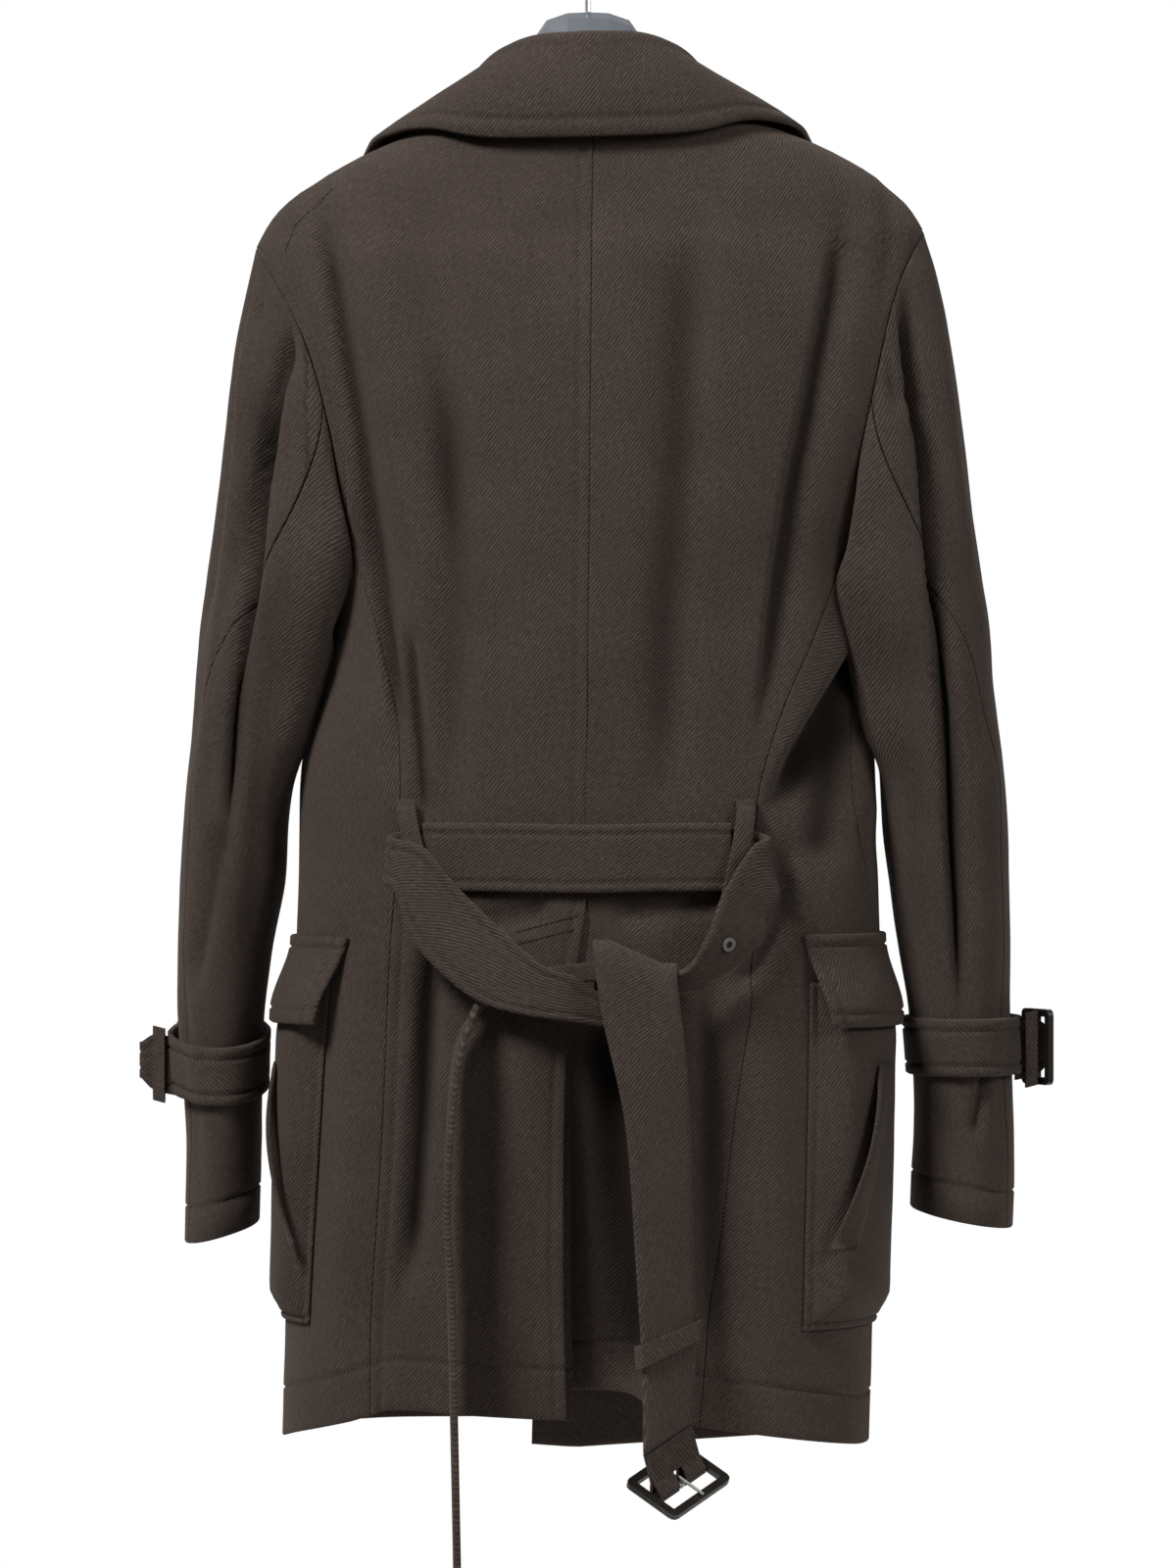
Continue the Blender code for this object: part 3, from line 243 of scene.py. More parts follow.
class Crease(NamedTuple):
    """A crease laid down a path of places, sideways and in height; a trough's depth is negative."""

    width: float
    depth: float
    path: tuple[tuple[float, float], ...]
    lean: float = 0.0

    def push(self, x: float, height: float) -> float:
        """How far the crease moves the cloth out at a place.

        Args:
            x: sideways place.
            height: height of the place.

        Returns:
            Millimetres outward.
        """
        reach = 2.4 * self.width * (1 + abs(self.lean))
        if not self.path[-1][1] - reach < height < self.path[0][1] + reach:
            return 0.0
        nearest, run, done, side = reach, 0.0, 0.0, 0.0
        for (x_0, h_0), (x_1, h_1) in zip(self.path, self.path[1:]):
            length = math.hypot(x_1 - x_0, h_1 - h_0)
            part = ((x - x_0) * (x_1 - x_0) + (height - h_0) * (h_1 - h_0)) / length**2
            part = min(max(part, 0.0), 1.0)
            away = math.hypot(x - mix(x_0, x_1, part), height - mix(h_0, h_1, part))
            if away < nearest:
                nearest, run = away, done + part * length
                side = math.copysign(1.0, (height - h_0) * (x_1 - x_0) - (x - x_0) * (h_1 - h_0))
            done += length
        fade = smooth(run / done, 0, 0.2) * (1 - smooth(run / done, 0.76, 1))
        width = self.width * (1 + self.lean * side)
        return self.depth * fade * max(math.exp(-((nearest / width) ** 2)) - 0.003, 0.0)


class Creases:
    """A set of soft troughs and ridges, uneven in length, depth and spacing."""

    def __init__(self, *rows: Crease) -> None:
        """Keeps the rows."""
        self.rows = rows

    def push(self, x: float, height: float) -> float:
        """How far the creases move the cloth out at a place."""
        return sum(row.push(x, height) for row in self.rows)


class Level(NamedTuple):
    """A seam's sideways place at a height."""

    height: float
    sideways: float


class Turned(NamedTuple):
    """A height at a turn round the body."""

    turn: float
    height: float


class Seam(NamedTuple):
    """A seam's turn at a height."""

    height: float
    turn: float


PRINCESS = {
    Side.LEFT: Table(
        (
            Level(0, -141),
            Level(58, -140),
            Level(180, -133),
            Level(306, -128),
            Level(421, -121),
            Level(502, -133),
            Level(549, -142),
            Level(606, -163),
        )
    ),
    Side.RIGHT: Table(
        (
            Level(0, 70),
            Level(45, 74),
            Level(115, 84),
            Level(209, 94),
            Level(291, 105),
            Level(414, 109),
            Level(482, 127),
            Level(531, 143),
            Level(606, 164),
        )
    ),
}
CENTRE_BACK = Table(
    (Level(0, -1), Level(345, -1), Level(413, -1), Level(620, 1), Level(850, 3), Level(900, 3))
)
VENT_EDGE = Table((Level(0, -14), Level(108, -16), Level(239, -14), Level(296, -8), Level(345, -1)))
HEM = {
    Side.LEFT: Table(
        (
            Turned(-180, 3),
            Turned(-120, 5),
            Turned(-90, 4),
            Turned(-70, 11),
            Turned(-50, 21),
            Turned(-38, 30),
            Turned(-22, 28),
            Turned(0, 25),
            Turned(20, 25),
        )
    ),
    Side.RIGHT: Table(
        (
            Turned(-20, 40),
            Turned(0, 43),
            Turned(9, 40),
            Turned(20, 24),
            Turned(38, 14),
            Turned(70, 3),
            Turned(90, 1),
            Turned(120, -3),
            Turned(180, -17),
        )
    ),
}
SIDE_SEAM = {
    Side.LEFT: Table((Seam(-20, 96), Seam(342, 96), Seam(505, 94), Seam(567, 90))),
    Side.RIGHT: Table(
        (Seam(-20, 82), Seam(200, 80), Seam(342, 76), Seam(420, 68), Seam(505, 79), Seam(567, 90))
    ),
}


@dataclass(frozen=True)
class BodyForm:
    """The coat's body as rings over turn and height. Turn is in degrees from centre back."""

    fullness: float = 0.25
    tilt: float = 0.027
    underarm: float = 567.0
    tip: float = 791.0
    arm_back: float = 34.0
    arm_front: float = 30.0
    princess_start: float = -40.7
    princess_top: float = 606.0
    neck_point: float = 876.0
    neck_half: float = 78.0
    back_neck_drop: float = 8.0
    front_neck_drop: float = 76.0

    def surface(self, turn: float, height: float) -> Vector:
        """A point of the cloth's outer face.

        Args:
            turn: degrees from centre back.
            height: height of the place.

        Returns:
            The point in metres.
        """
        angle = math.radians(turn)
        across, ahead = math.sin(angle), math.cos(angle)
        push = push_of(BODY_FOLDS, turn, height)
        reach = BODY_RINGS.read("back" if ahead > 0 else "front", height)
        x = BODY_RINGS.read("middle", height) + (BODY_RINGS.read("half_width", height) + push) * across
        y = -(reach * (1 + self.fullness * across * across) + push) * ahead
        return placed(x, y, height + x * self.tilt * smooth(height, 600, 780))

    def point(self, turn: float, height: float, out: float = 0.0) -> Vector:
        """A point moved out along the cloth's normal.

        Args:
            turn: degrees from centre back.
            height: height of the place.
            out: millimetres outward.

        Returns:
            The point in metres.
        """
        base = self.surface(turn, height)
        if out == 0.0:
            return base
        one = self.surface(turn + 0.6, height) - self.surface(turn - 0.6, height)
        two = self.surface(turn, height + 2) - self.surface(turn, height - 2)
        return base + one.cross(two).normalized() * out * MM

    def turn_at(self, x: float, height: float) -> float:
        """Degrees of turn on the back at a sideways place."""
        part = (x - BODY_RINGS.read("middle", height)) / BODY_RINGS.read("half_width", height)
        return math.degrees(math.asin(min(max(part, -1.0), 1.0)))

    def nudge(self, turn: float, height: float, distance: float) -> float:
        """A turn moved sideways by a distance along the cloth."""
        degree = (self.surface(turn + 0.5, height) - self.surface(turn - 0.5, height)).length / MM
        return turn + distance / degree

    def armhole(self, side: Side, around: float) -> tuple[float, float]:
        """The armhole's place.

        Args:
            side: which sleeve.
            around: degrees round the armhole, 0 at the back and 90 at the shoulder tip.

        Returns:
            Turn and height.
        """
        angle = math.radians(around)
        reach = self.arm_back if math.cos(angle) > 0 else self.arm_front
        middle, half = (self.underarm + self.tip) / 2, (self.tip - self.underarm) / 2
        return side.value * (90 - reach * math.cos(angle)), middle + half * math.sin(angle)

    def arm_turn(self, height: float, front: bool) -> float:
        """Degrees of turn, without sign, of the armhole's edge at a height."""
        middle, half = (self.underarm + self.tip) / 2, (self.tip - self.underarm) / 2
        part = min(max((height - middle) / half, -1.0), 1.0)
        wide = math.sqrt(1 - part * part)
        return 90 + self.arm_front * wide if front else 90 - self.arm_back * wide

    def princess(self, side: Side, height: float) -> float:
        """The princess seam's turn at a height."""
        top = side.value * (90 - self.arm_back * math.cos(math.radians(self.princess_start)))
        below = self.turn_at(PRINCESS[side].read("sideways", height), height)
        return mix(below, top, smooth(height, 560, self.princess_top))

    def side_seam(self, side: Side, height: float) -> float:
        """The side seam's turn at a height."""
        return side.value * SIDE_SEAM[side].read("turn", height)

    def neck_height(self, turn: float) -> float:
        """The neckline's height round the neck."""
        ahead = math.cos(math.radians(turn))
        drop = self.back_neck_drop * ahead * ahead if ahead > 0 else -self.front_neck_drop * ahead
        return self.neck_point - drop

    def top_over(self, x: float, y: float) -> float | None:
        """Height of the shoulders over a place, or nothing outside them.

        Args:
            x: sideways place.
            y: place from back to front.

        Returns:
            The height, or None.
        """
        low, high = 730.0, self.neck_point

        def inside(height: float) -> bool:
            """Whether the place lies inside the ring at a height."""
            across = (x - BODY_RINGS.read("middle", height)) / BODY_RINGS.read("half_width", height)
            if abs(across) >= 1:
                return False
            reach = BODY_RINGS.read("back" if y < 0 else "front", height)
            return abs(y) < reach * math.sqrt(1 - across * across) * (1 + self.fullness * across * across)

        if not inside(low):
            return None
        for _ in range(20):
            trial = (low + high) / 2
            low, high = (trial, high) if inside(trial) else (low, trial)
        return low + x * self.tilt


BODY = BodyForm()


class Cuff(NamedTuple):
    """A sleeve's section at a height: its reach from the coat's middle and its depth."""

    height: float
    outer: float
    inner: float
    middle: float
    half_depth: float


SLEEVE_RINGS = {
    Side.LEFT: Table(
        (
            Cuff(120, 267, 218, 22, 47),
            Cuff(195, 266, 216, 22, 48),
            Cuff(217, 267, 216, 21, 48),
            Cuff(278, 271, 214, 18, 50),
            Cuff(324, 271, 208, 15, 52),
            Cuff(368, 269, 200, 12, 54),
            Cuff(413, 266, 197, 8, 56),
            Cuff(464, 261, 190, 5, 58),
            Cuff(529, 256, 179, 2, 61),
            Cuff(567, 251, 174, 0, 63),
            Cuff(648, 242, 173, 0, 62),
            Cuff(709, 235, 175, 0, 56),
            Cuff(749, 228, 180, 0, 46),
            Cuff(791, 219, 195, 0, 28),
        )
    ),
    Side.RIGHT: Table(
        (
            Cuff(130, 281, 212, 22, 50),
            Cuff(170, 282, 214, 22, 50),
            Cuff(222, 281, 216, 21, 50),
            Cuff(289, 279, 211, 17, 52),
            Cuff(338, 279, 203, 13, 54),
            Cuff(395, 277, 195, 9, 56),
            Cuff(439, 274, 191, 6, 58),
            Cuff(496, 267, 183.5, 3, 60),
            Cuff(533, 264, 180.5, 1, 62),
            Cuff(567, 259, 177, 0, 63),
            Cuff(640, 250, 176, 0, 62),
            Cuff(693, 241, 178, 0, 57),
            Cuff(757, 230, 184, 0, 44),
            Cuff(791, 221, 195, 0, 28),
        )
    ),
}


@dataclass(frozen=True)
class SleeveForm:
    """A sleeve that eases from the armhole's loop to its own rings."""

    side: Side
    cuff: float
    twist: float = 55.0
    blend: float = 0.34
    cuff_drop: float = 6.5

    def ring(self, around: float, height: float) -> Vector:
        """A point of the sleeve's own ring at a height.

        Args:
            around: degrees round the sleeve, 0 at the back and 90 on the outer side.
            height: height of the ring.

        Returns:
            The point in metres.
        """
        rows = SLEEVE_RINGS[self.side]
        angle = math.radians(around)
        outer, inner = rows.read("outer", height), rows.read("inner", height)
        turn = (around + 180) % 360 - 180
        push = push_of(SLEEVE_FOLDS, turn, height) + push_of(SLEEVE_FOLDS, turn + 360, height)
        x = (outer + inner) / 2 + ((outer - inner) / 2 + push) * math.sin(angle)
        y = rows.read("middle", height) - (rows.read("half_depth", height) + push) * math.cos(angle)
        return placed(self.side.value * x, y, height)

    def low(self, around: float) -> float:
        """The cuff's height on a column."""
        return self.cuff - self.cuff_drop * math.cos(math.radians(around - 20))

    def surface(self, around: float, along: float) -> Vector:
        """A point of the sleeve's outer face.

        Args:
            around: degrees round the armhole where the column starts.
            along: 0 at the armhole, 1 at the cuff.

        Returns:
            The point in metres.
        """
        turn, top = BODY.armhole(self.side, around)
        height = top + (self.low(around) - top) * along
        point = self.ring(around + self.twist * smooth(along, 0, 0.5), height)
        fade = 1 - smooth(along, 0, self.blend)
        if fade == 0.0:
            return point
        return point + (BODY.surface(turn, top) - self.ring(around, top)) * fade

    def along_at(self, around: float, height: float) -> float:
        """How far along a column a height lies."""
        top = BODY.armhole(self.side, around)[1]
        return (height - top) / (self.low(around) - top)

    def point(self, around: float, along: float, out: float = 0.0) -> Vector:
        """A point moved out along the sleeve's normal.

        Args:
            around: degrees round the armhole where the column starts.
            along: 0 at the armhole, 1 at the cuff.
            out: millimetres outward.

        Returns:
            The point in metres.
        """
        one = self.surface(around + 1.5, along) - self.surface(around - 1.5, along)
        two = self.surface(around, along + 0.01) - self.surface(around, along - 0.01)
        return self.surface(around, along) - one.cross(two).normalized() * out * self.side.value * MM


SLEEVES = {Side.LEFT: SleeveForm(Side.LEFT, 137.0), Side.RIGHT: SleeveForm(Side.RIGHT, 147.0)}


class Station(NamedTuple):
    """The collar's shape at a turn round the neck."""

    turn: float
    stand: float
    lean: float
    edge_height: float
    edge_out: float


COLLAR_STATIONS = Table(
    (
        Station(0, 48, 4, 848, 9),
        Station(25, 46, 8, 849, 8),
        Station(48, 38, 12, 855, 7),
        Station(70, 28, 13, 855, 6),
        Station(90, 22, 12, 853, 6),
        Station(112, 20, 9, 843, 6),
        Station(135, 19, 6, 810, 6),
        Station(155, 18, 4, 768, 6),
        Station(172, 18, 3, 742, 6),
    )
)


@dataclass(frozen=True)
class CollarForm:
    """The collar's middle layer: stand, fold and fall."""

    end: float = 171.0
    thick: float = 4.4
    fold_radius: float = 5.0
    clear: float = 3.4
    seat: float = 1.0
    stand_part: float = 0.26
    fold_part: float = 0.46

    def foot(self, turn: float) -> Vector:
        """The neckline's point under the collar."""
        height = BODY.neck_height(turn)
        half = max(BODY_RINGS.read("half_width", height), BODY.neck_half)
        reach = BODY.neck_half * abs(math.sin(math.radians(turn))) / half
        around = math.degrees(math.asin(min(reach, 1.0)))
        around = around if abs(turn) <= 90 else 180 - around
        station = abs(turn)
        rise = self.seat + 3.4 * smooth(station, 80, 100) + 4.0 * smooth(station, 120, 165)
        return BODY.point(math.copysign(around, turn), height, -CLOTH / 2) + Vector((0, 0, rise * MM))

    def surface(self, turn: float, along: float) -> Vector:
        """A point of the collar's middle layer.

        Args:
            turn: degrees round the neck from centre back.
            along: 0 at the neckline, 1 at the fall's edge.

        Returns:
            The point in metres.
        """
        station = abs(turn)
        foot = self.foot(turn)
        inward = -Vector((foot.x, foot.y, 0)).normalized()
        lean, stand = COLLAR_STATIONS.read("lean", station), COLLAR_STATIONS.read("stand", station)
        radius = self.fold_radius * MM
        crown = foot + inward * lean * MM + Vector((0, 0, stand * MM - radius))
        if along < self.stand_part:
            return foot.lerp(crown, along / self.stand_part)
        middle = crown - inward * radius
        if along < self.fold_part:
            angle = math.pi * (along - self.stand_part) / (self.fold_part - self.stand_part)
            return middle + (inward * math.cos(angle) + Vector((0, 0, math.sin(angle)))) * radius
        edge = BODY.point(
            turn, COLLAR_STATIONS.read("edge_height", station), COLLAR_STATIONS.read("edge_out", station)
        )
        part = (along - self.fold_part) / (1 - self.fold_part)
        point = (middle - inward * radius).lerp(edge, part)
        point = point - inward * 5 * MM * math.sin(math.pi * part)
        top = BODY.top_over(point.x / MM, point.y / MM)
        if top is not None:
            point.z = max(point.z, (top + self.clear + self.thick / 2 - HANG_HEIGHT) * MM)
        return point


COLLAR = CollarForm()


class Edges(NamedTuple):
    """The two edges of a belt stretch at one row of its run."""

    ax: float
    ay: float
    ah: float
    bx: float
    by: float
    bh: float


class StripForm:
    """A belt stretch between its two edges, read smoothly along its run."""

    def __init__(self, rows: Sequence[Edges], thick: float = 4.4) -> None:
        """Keeps the rows and the cloth's thickness."""
        self.rows = tuple(rows)
        self.thick = thick

    def _edge(self, column: int, place: float) -> float:
        """An edge's coordinate at a place from 0 to 1 along the run."""
        last = len(self.rows) - 1
        at = min(max(place, 0.0), 1.0) * last
        i = min(int(at), last - 1)
        p = at - i
        q = 1 - p
        values = [self.rows[min(max(k, 0), last)][column] for k in (i - 1, i, i + 1, i + 2)]
        rise, fall = (values[2] - values[0]) / 2, (values[3] - values[1]) / 2
        return (
            values[1] * (1 + 2 * p) * q * q
            + rise * p * q * q
            + values[2] * p * p * (3 - 2 * p)
            + fall * p * p * (p - 1)
        )

    def surface(self, across: float, along: float) -> Vector:
        """A point of the strip's middle layer.

        Args:
            across: 0 at the first edge, 1 at the second.
            along: 0 at the start of the run, 1 at its end.

        Returns:
            The point in metres.
        """
        first = placed(*(self._edge(column, along) for column in (0, 1, 2)))
        second = placed(*(self._edge(column, along) for column in (3, 4, 5)))
        return first.lerp(second, across)

    def normal(self, across: float, along: float) -> Vector:
        """The direction out of the strip's face."""
        wide = self.surface(1.0, along) - self.surface(0.0, along)
        run = self.surface(across, along + 0.01) - self.surface(across, along - 0.01)
        return wide.cross(run).normalized()


BELT_STRIPS = {
    "belt_back": StripForm(
        (
            Edges(-106, -93.2, 407, -106, -93.2, 363),
            Edges(-60, -100.6, 407, -60, -100.6, 363),
            Edges(0, -103.4, 406, 0, -103.4, 362),
            Edges(50, -101.6, 407, 50, -101.6, 363),
            Edges(92, -96.2, 407, 92, -96.2, 363),
        )
    ),
    "belt_drop_left": StripForm(
        (
            Edges(-107.5, -92.6, 405, -107.5, -92.6, 364),
            Edges(-119, -89.4, 402, -120, -89.4, 366),
            Edges(-127, -96, 398, -129, -96, 367),
            Edges(-104, -107, 391, -123, -104, 362),
            Edges(-81, -112, 364, -111, -109, 330),
            Edges(-32, -120, 319, -76, -118, 297),
            Edges(-9, -121, 310, -46, -122, 286),
            Edges(4, -119, 301, -12, -121, 281),
            Edges(17, -117, 296, 14, -117.5, 277),
            Edges(35, -114.8, 292, 34, -115, 276),
        )
    ),
    "belt_drop_right": StripForm(
        (
            Edges(93.5, -95.8, 405, 93.5, -95.8, 364),
            Edges(106, -92, 402, 106, -92, 366),
            Edges(115, -97, 398, 117, -96, 367),
            Edges(104, -112, 391, 122, -102, 360),
            Edges(86, -123, 362, 116, -101, 345),
            Edges(76, -130, 336, 107, -105, 327),
            Edges(62, -127, 314, 70, -113, 303),
            Edges(40, -121, 315, 41, -119, 301),
            Edges(12, -119, 318, 12, -117.5, 305),
            Edges(0, -116, 318, 0, -115.5, 306),
            Edges(-20, -110.5, 316, -20, -110.5, 301),
            Edges(-52, -109, 310, -54, -108, 294),
        )
    ),
    "belt_tail_buckle": StripForm(
        (
            Edges(6, -108.6, 281, 52, -108, 281),
            Edges(4, -109, 300, 56, -108.6, 300),
            Edges(3, -112, 319, 57, -111, 318),
            Edges(3, -122, 328, 57, -120, 327),
            Edges(4, -131.5, 318, 57, -130, 316),
            Edges(9, -135, 283, 61, -130, 278),
            Edges(24, -138, 215, 65, -124, 215),
            Edges(31, -143, 122, 67, -119, 128),
            Edges(34.5, -153, 62, 68, -124, 76),
            Edges(35.4, -165.4, 10.9, 64.8, -133.6, 26.7),
        )
    ),
    "belt_tail_plain": StripForm(
        (
            Edges(-58, -109, 308, -60, -108, 292),
            Edges(-70, -117, 292, -73, -107, 284),
            Edges(-80, -137, 264, -84, -104, 262),
            Edges(-86, -148, 221, -88, -107, 221),
            Edges(-89, -152, 161, -90, -109, 161),
            Edges(-86, -153, 109, -88, -110, 109),
            Edges(-84, -154, 30, -86, -111, 30),
            Edges(-82, -155, -66, -84, -112, -66),
            Edges(-81, -150, -118, -83, -119, -136),
        )
    ),
}


class Stop(NamedTuple):
    """A line of the cloth's mesh: a share of the width or run, a shift, a sewn dip and an edge turned in."""

    part: float
    shift: float = 0.0
    dip: float = 0.0
    turned: float = 0.0


class Hem(Enum):
    """How a cloth's edge ends: cut and rounded, or turned in at a seam."""

    FREE = 0.0
    SEAM = 3.0


def edge_lines(part: float, way: float, hem: Hem) -> list[Stop]:
    """The lines at an edge of the cloth.

    Args:
        part: the edge's share of the width or run.
        way: 1 where the cloth lies past the edge, -1 where it lies before it.
        hem: how the edge ends.

    Returns:
        The lines from the edge inward.
    """
    if hem is Hem.FREE:
        return [Stop(part), Stop(part, 1.1 * way)]
    return [
        Stop(part, -5.0 * way, 0.0, hem.value + 0.2),
        Stop(part, -0.05 * way, 0.0, hem.value),
        Stop(part, 0.0, 0.0, 0.55),
        Stop(part, 0.5 * way, 0.0, 0.16),
        Stop(part, 1.3 * way),
    ]


def stops(
    count: int,
    start: Sequence[float] = (),
    end: Sequence[float] = (),
    dip: float = 1.5,
    hems: tuple[Hem, Hem] = (Hem.FREE, Hem.FREE),
) -> list[Stop]:
    """Lines across a cloth, closer at its two edges and by the rows of stitches along them.

    Args:
        count: how many even steps lie between the sewn edges.
        start: distances of stitch rows from the first edge.
        end: distances of stitch rows from the second edge.
        dip: how deep a stitch row pulls the cloth in.
        hems: how the two edges end.

    Returns:
        The lines in order.
    """
    near, far = edge_lines(0.0, 1.0, hems[0]), edge_lines(1.0, -1.0, hems[1])
    for row in start:
        near += [Stop(0.0, row - 1.6), Stop(0.0, row, dip), Stop(0.0, row + 1.6)]
    for row in end:
        far += [Stop(1.0, -row + 1.6), Stop(1.0, -row, dip), Stop(1.0, -row - 1.6)]
    first = max(stop.shift for stop in near) + 2.6
    last = min(stop.shift for stop in far) - 2.6
    inner = [Stop(step / count, mix(first, last, step / count)) for step in range(count + 1)]
    return near + inner + sorted(far, key=lambda stop: stop.shift)


def levels(low: float, high: float, pitch: float, sewn: Sequence[float] = (), dip: float = 1.3) -> list[Stop]:
    """Lines at even distances, with close ones at both ends and by the rows of stitches across them.

    Args:
        low: the first line.
        high: the last line.
        pitch: the distance between even lines.
        sewn: where stitch rows lie.
        dip: how deep a stitch row pulls the cloth in.

    Returns:
        The lines in order, each as a shift from nothing.
    """
    count = round((high - low) / pitch)
    even = [mix(low, high, step / count) for step in range(count + 1)]
    kept = [value for value in even if all(abs(value - row) > 3.4 for row in sewn)]
    rows = {value: 0.0 for value in kept}
    rows.update({low + 1.1: 0.0, high - 1.1: 0.0})
    for row in sewn:
        rows.update({row - 1.6: 0.0, row: dip, row + 1.6: 0.0})
    return [Stop(0.0, value, rows[value]) for value in sorted(rows)]


Surface = Callable[[Stop, Stop], Vector]
Push = Callable[[Vector, Stop], float]
Chart = Callable[[Vector], tuple[float, float]]


class ClothShell:
    """A thin closed shell of cloth over a form, with soft edges, sewn dips, a UV map in metres and a painted
    crease shade share per vertex.
    """

    def __init__(self, name: str, surface: Surface, across: Sequence[Stop], along: Sequence[Stop]) -> None:
        """Keeps the form and the lines of the mesh."""
        self.name = name
        self.surface = surface
        self.across = list(across)
        self.along = list(along)

    def build(
        self,
        outer: float,
        inner: float,
        push: Push | None = None,
        outward: Vector | None = None,
        crown: float = 0.0,
        floor: float | None = None,
        chart: Chart | None = None,
    ) -> bpy.types.Object:
        """Makes the shell's mesh and object.

        Args:
            outer: the outer face's distance from the form, in millimetres.
            inner: the inner face's distance.
            push: creases, as a distance out at a point on a line along the run; its troughs also set the
                painted crease shade.
            outward: where the outer face looks at the mesh's middle, if the form may be turned over.
            crown: how far the cloth swells between its edges.
            floor: the least distance of the inner face from the form.
            chart: where a point lies on the flat cloth, if not by the mesh's own lines.

        Returns:
            The object, at the origin.
        """
        columns, rows = len(self.across) - 1, len(self.along) - 1
        bm = bmesh.new()
        bmesh.ops.create_grid(bm, x_segments=columns, y_segments=rows, size=0.5)
        # Painted shade: a share per vertex, from how deep the troughs push in, that darkens the cloth's
        # colour in its creases.
        painted_crease_shade = bm.verts.layers.float.new("painted_crease_shade")
        places: dict[bmesh.types.BMVert, tuple[int, int]] = {}
        for vert in bm.verts:
            places[vert] = (round((vert.co.x + 0.5) * columns), round((vert.co.y + 0.5) * rows))
        grid = {place: self.surface(self.across[place[0]], self.along[place[1]]) for place in places.values()}
        for vert, place in places.items():
            vert.co = grid[place]
        bm.normal_update()
        normals = {place: vert.normal.copy() for vert, place in places.items()}
        middle = normals[(columns // 2, rows // 2)]
        turn = -1.0 if outward is not None and middle.dot(outward) < 0 else 1.0
        self._unwrap(bm, places, grid, turn, chart)
        base = list(bm.verts)
        grown = bmesh.ops.extrude_face_region(bm, geom=bm.faces[:])
        raised = [item for item in grown["geom"] if isinstance(item, bmesh.types.BMVert)]
        at = {tuple(vert.co): places[vert] for vert in base}
        faces = ((base, inner), (raised, outer))
        moves: list[tuple[bmesh.types.BMVert, Vector]] = []
        pushed = {place: push(point, self.along[place[1]]) for place, point in grid.items()} if push else {}
        for verts, distance in faces:
            for vert in verts:
                column, row = at[tuple(vert.co)]
                lift = self._lift(column, row, distance, outer, inner)
                lift += pushed.get((column, row), 0.0)
                # Painted shade: deeper troughs get a larger share of the dark crease colour.
                vert[painted_crease_shade] = smooth(-pushed.get((column, row), 0.0), 2.0, 15.0)
                if crown and distance == outer:
                    half = min(column, columns - column, row, rows - row) / max(2, min(columns, rows) / 2)
                    lift += crown * min(half * 1.6, 1.0)
                if floor is not None:
                    lift = max(lift, floor)
                moves.append((vert, grid[(column, row)] + normals[(column, row)] * turn * lift * MM))
        for vert, point in moves:
            vert.co = point
        bmesh.ops.recalc_face_normals(bm, faces=bm.faces[:])
        if bm.calc_volume(signed=True) < 0:
            bmesh.ops.reverse_faces(bm, faces=bm.faces[:])
        return finish_mesh(self.name, bm)

    def _lift(self, column: int, row: int, distance: float, outer: float, inner: float) -> float:
        """A vertex's distance from the form: rounded at the edges and drawn in along stitches."""
        stop, line = self.across[column], self.along[row]
        half = (outer - inner) / 2
        turned = max(stop.turned, line.turned)
        lift = distance - turned
        free = (column in (0, len(self.across) - 1) and not stop.turned) or (
            row in (0, len(self.along) - 1) and not line.turned
        )
        if free:
            lift += -0.62 * half if distance == outer else 0.5 * half
        dip = max(stop.dip, line.dip)
        return lift - dip if distance == outer else lift

    def _unwrap(
        self,
        bm: bmesh.types.BMesh,
        places: dict[bmesh.types.BMVert, tuple[int, int]],
        grid: dict[tuple[int, int], Vector],
        turn: float,
        chart: Chart | None,
    ) -> None:
        """Lays a UV map by the cloth's own lengths, so that a weave keeps its real size and slant.

        Args:
            bm: the mesh.
            places: each vertex's column and row.
            grid: each place's point.
            turn: -1 where the columns run the other way round as seen from outside.
            chart: where a point lies on the flat cloth, if not by the mesh's own lines.
        """
        columns, rows = len(self.across), len(self.along)
        middle = columns // 2
        spots: dict[tuple[int, int], tuple[float, float]] = {}
        start, level = 0.0, 0.0
        for row in range(rows):
            if row:
                step = grid[(middle, row)] - grid[(middle, row - 1)]
                side = (grid[(middle + 1, row)] - grid[(middle - 1, row)]).normalized()
                start += step.dot(side)
                level += (step - side * step.dot(side)).length
            wide = [0.0]
            for column in range(1, columns):
                wide.append(wide[-1] + (grid[(column, row)] - grid[(column - 1, row)]).length)
            for column in range(columns):
                spots[(column, row)] = (turn * (start + wide[column] - wide[middle]), level)
        if chart is not None:
            spots = {place: chart(point) for place, point in grid.items()}
        layer = bm.loops.layers.uv.new("cloth")
        for face in bm.faces:
            for loop in face.loops:
                loop[layer].uv = spots[places[loop.vert]]


def finish_mesh(name: str, bm: bmesh.types.BMesh) -> bpy.types.Object:
    """Turns a bmesh into a smooth object in the scene.

    Args:
        name: the object's name.
        bm: the mesh, freed here.

    Returns:
        The object.
    """
    mesh = bpy.data.meshes.new(name)
    bm.to_mesh(mesh)
    bm.free()
    mesh.shade_smooth()
    obj = bpy.data.objects.new(name, mesh)
    bpy.context.scene.collection.objects.link(obj)
    return obj


def linear(code: str) -> tuple[float, float, float, float]:
    """An sRGB hex colour in linear light.

    Args:
        code: six hex digits after a hash.

    Returns:
        Red, green, blue and alpha.
    """
    parts = [int(code[i : i + 2], 16) / 255 for i in (1, 3, 5)]
    red, green, blue = (p / 12.92 if p <= 0.04045 else ((p + 0.055) / 1.055) ** 2.4 for p in parts)
    return red, green, blue, 1.0


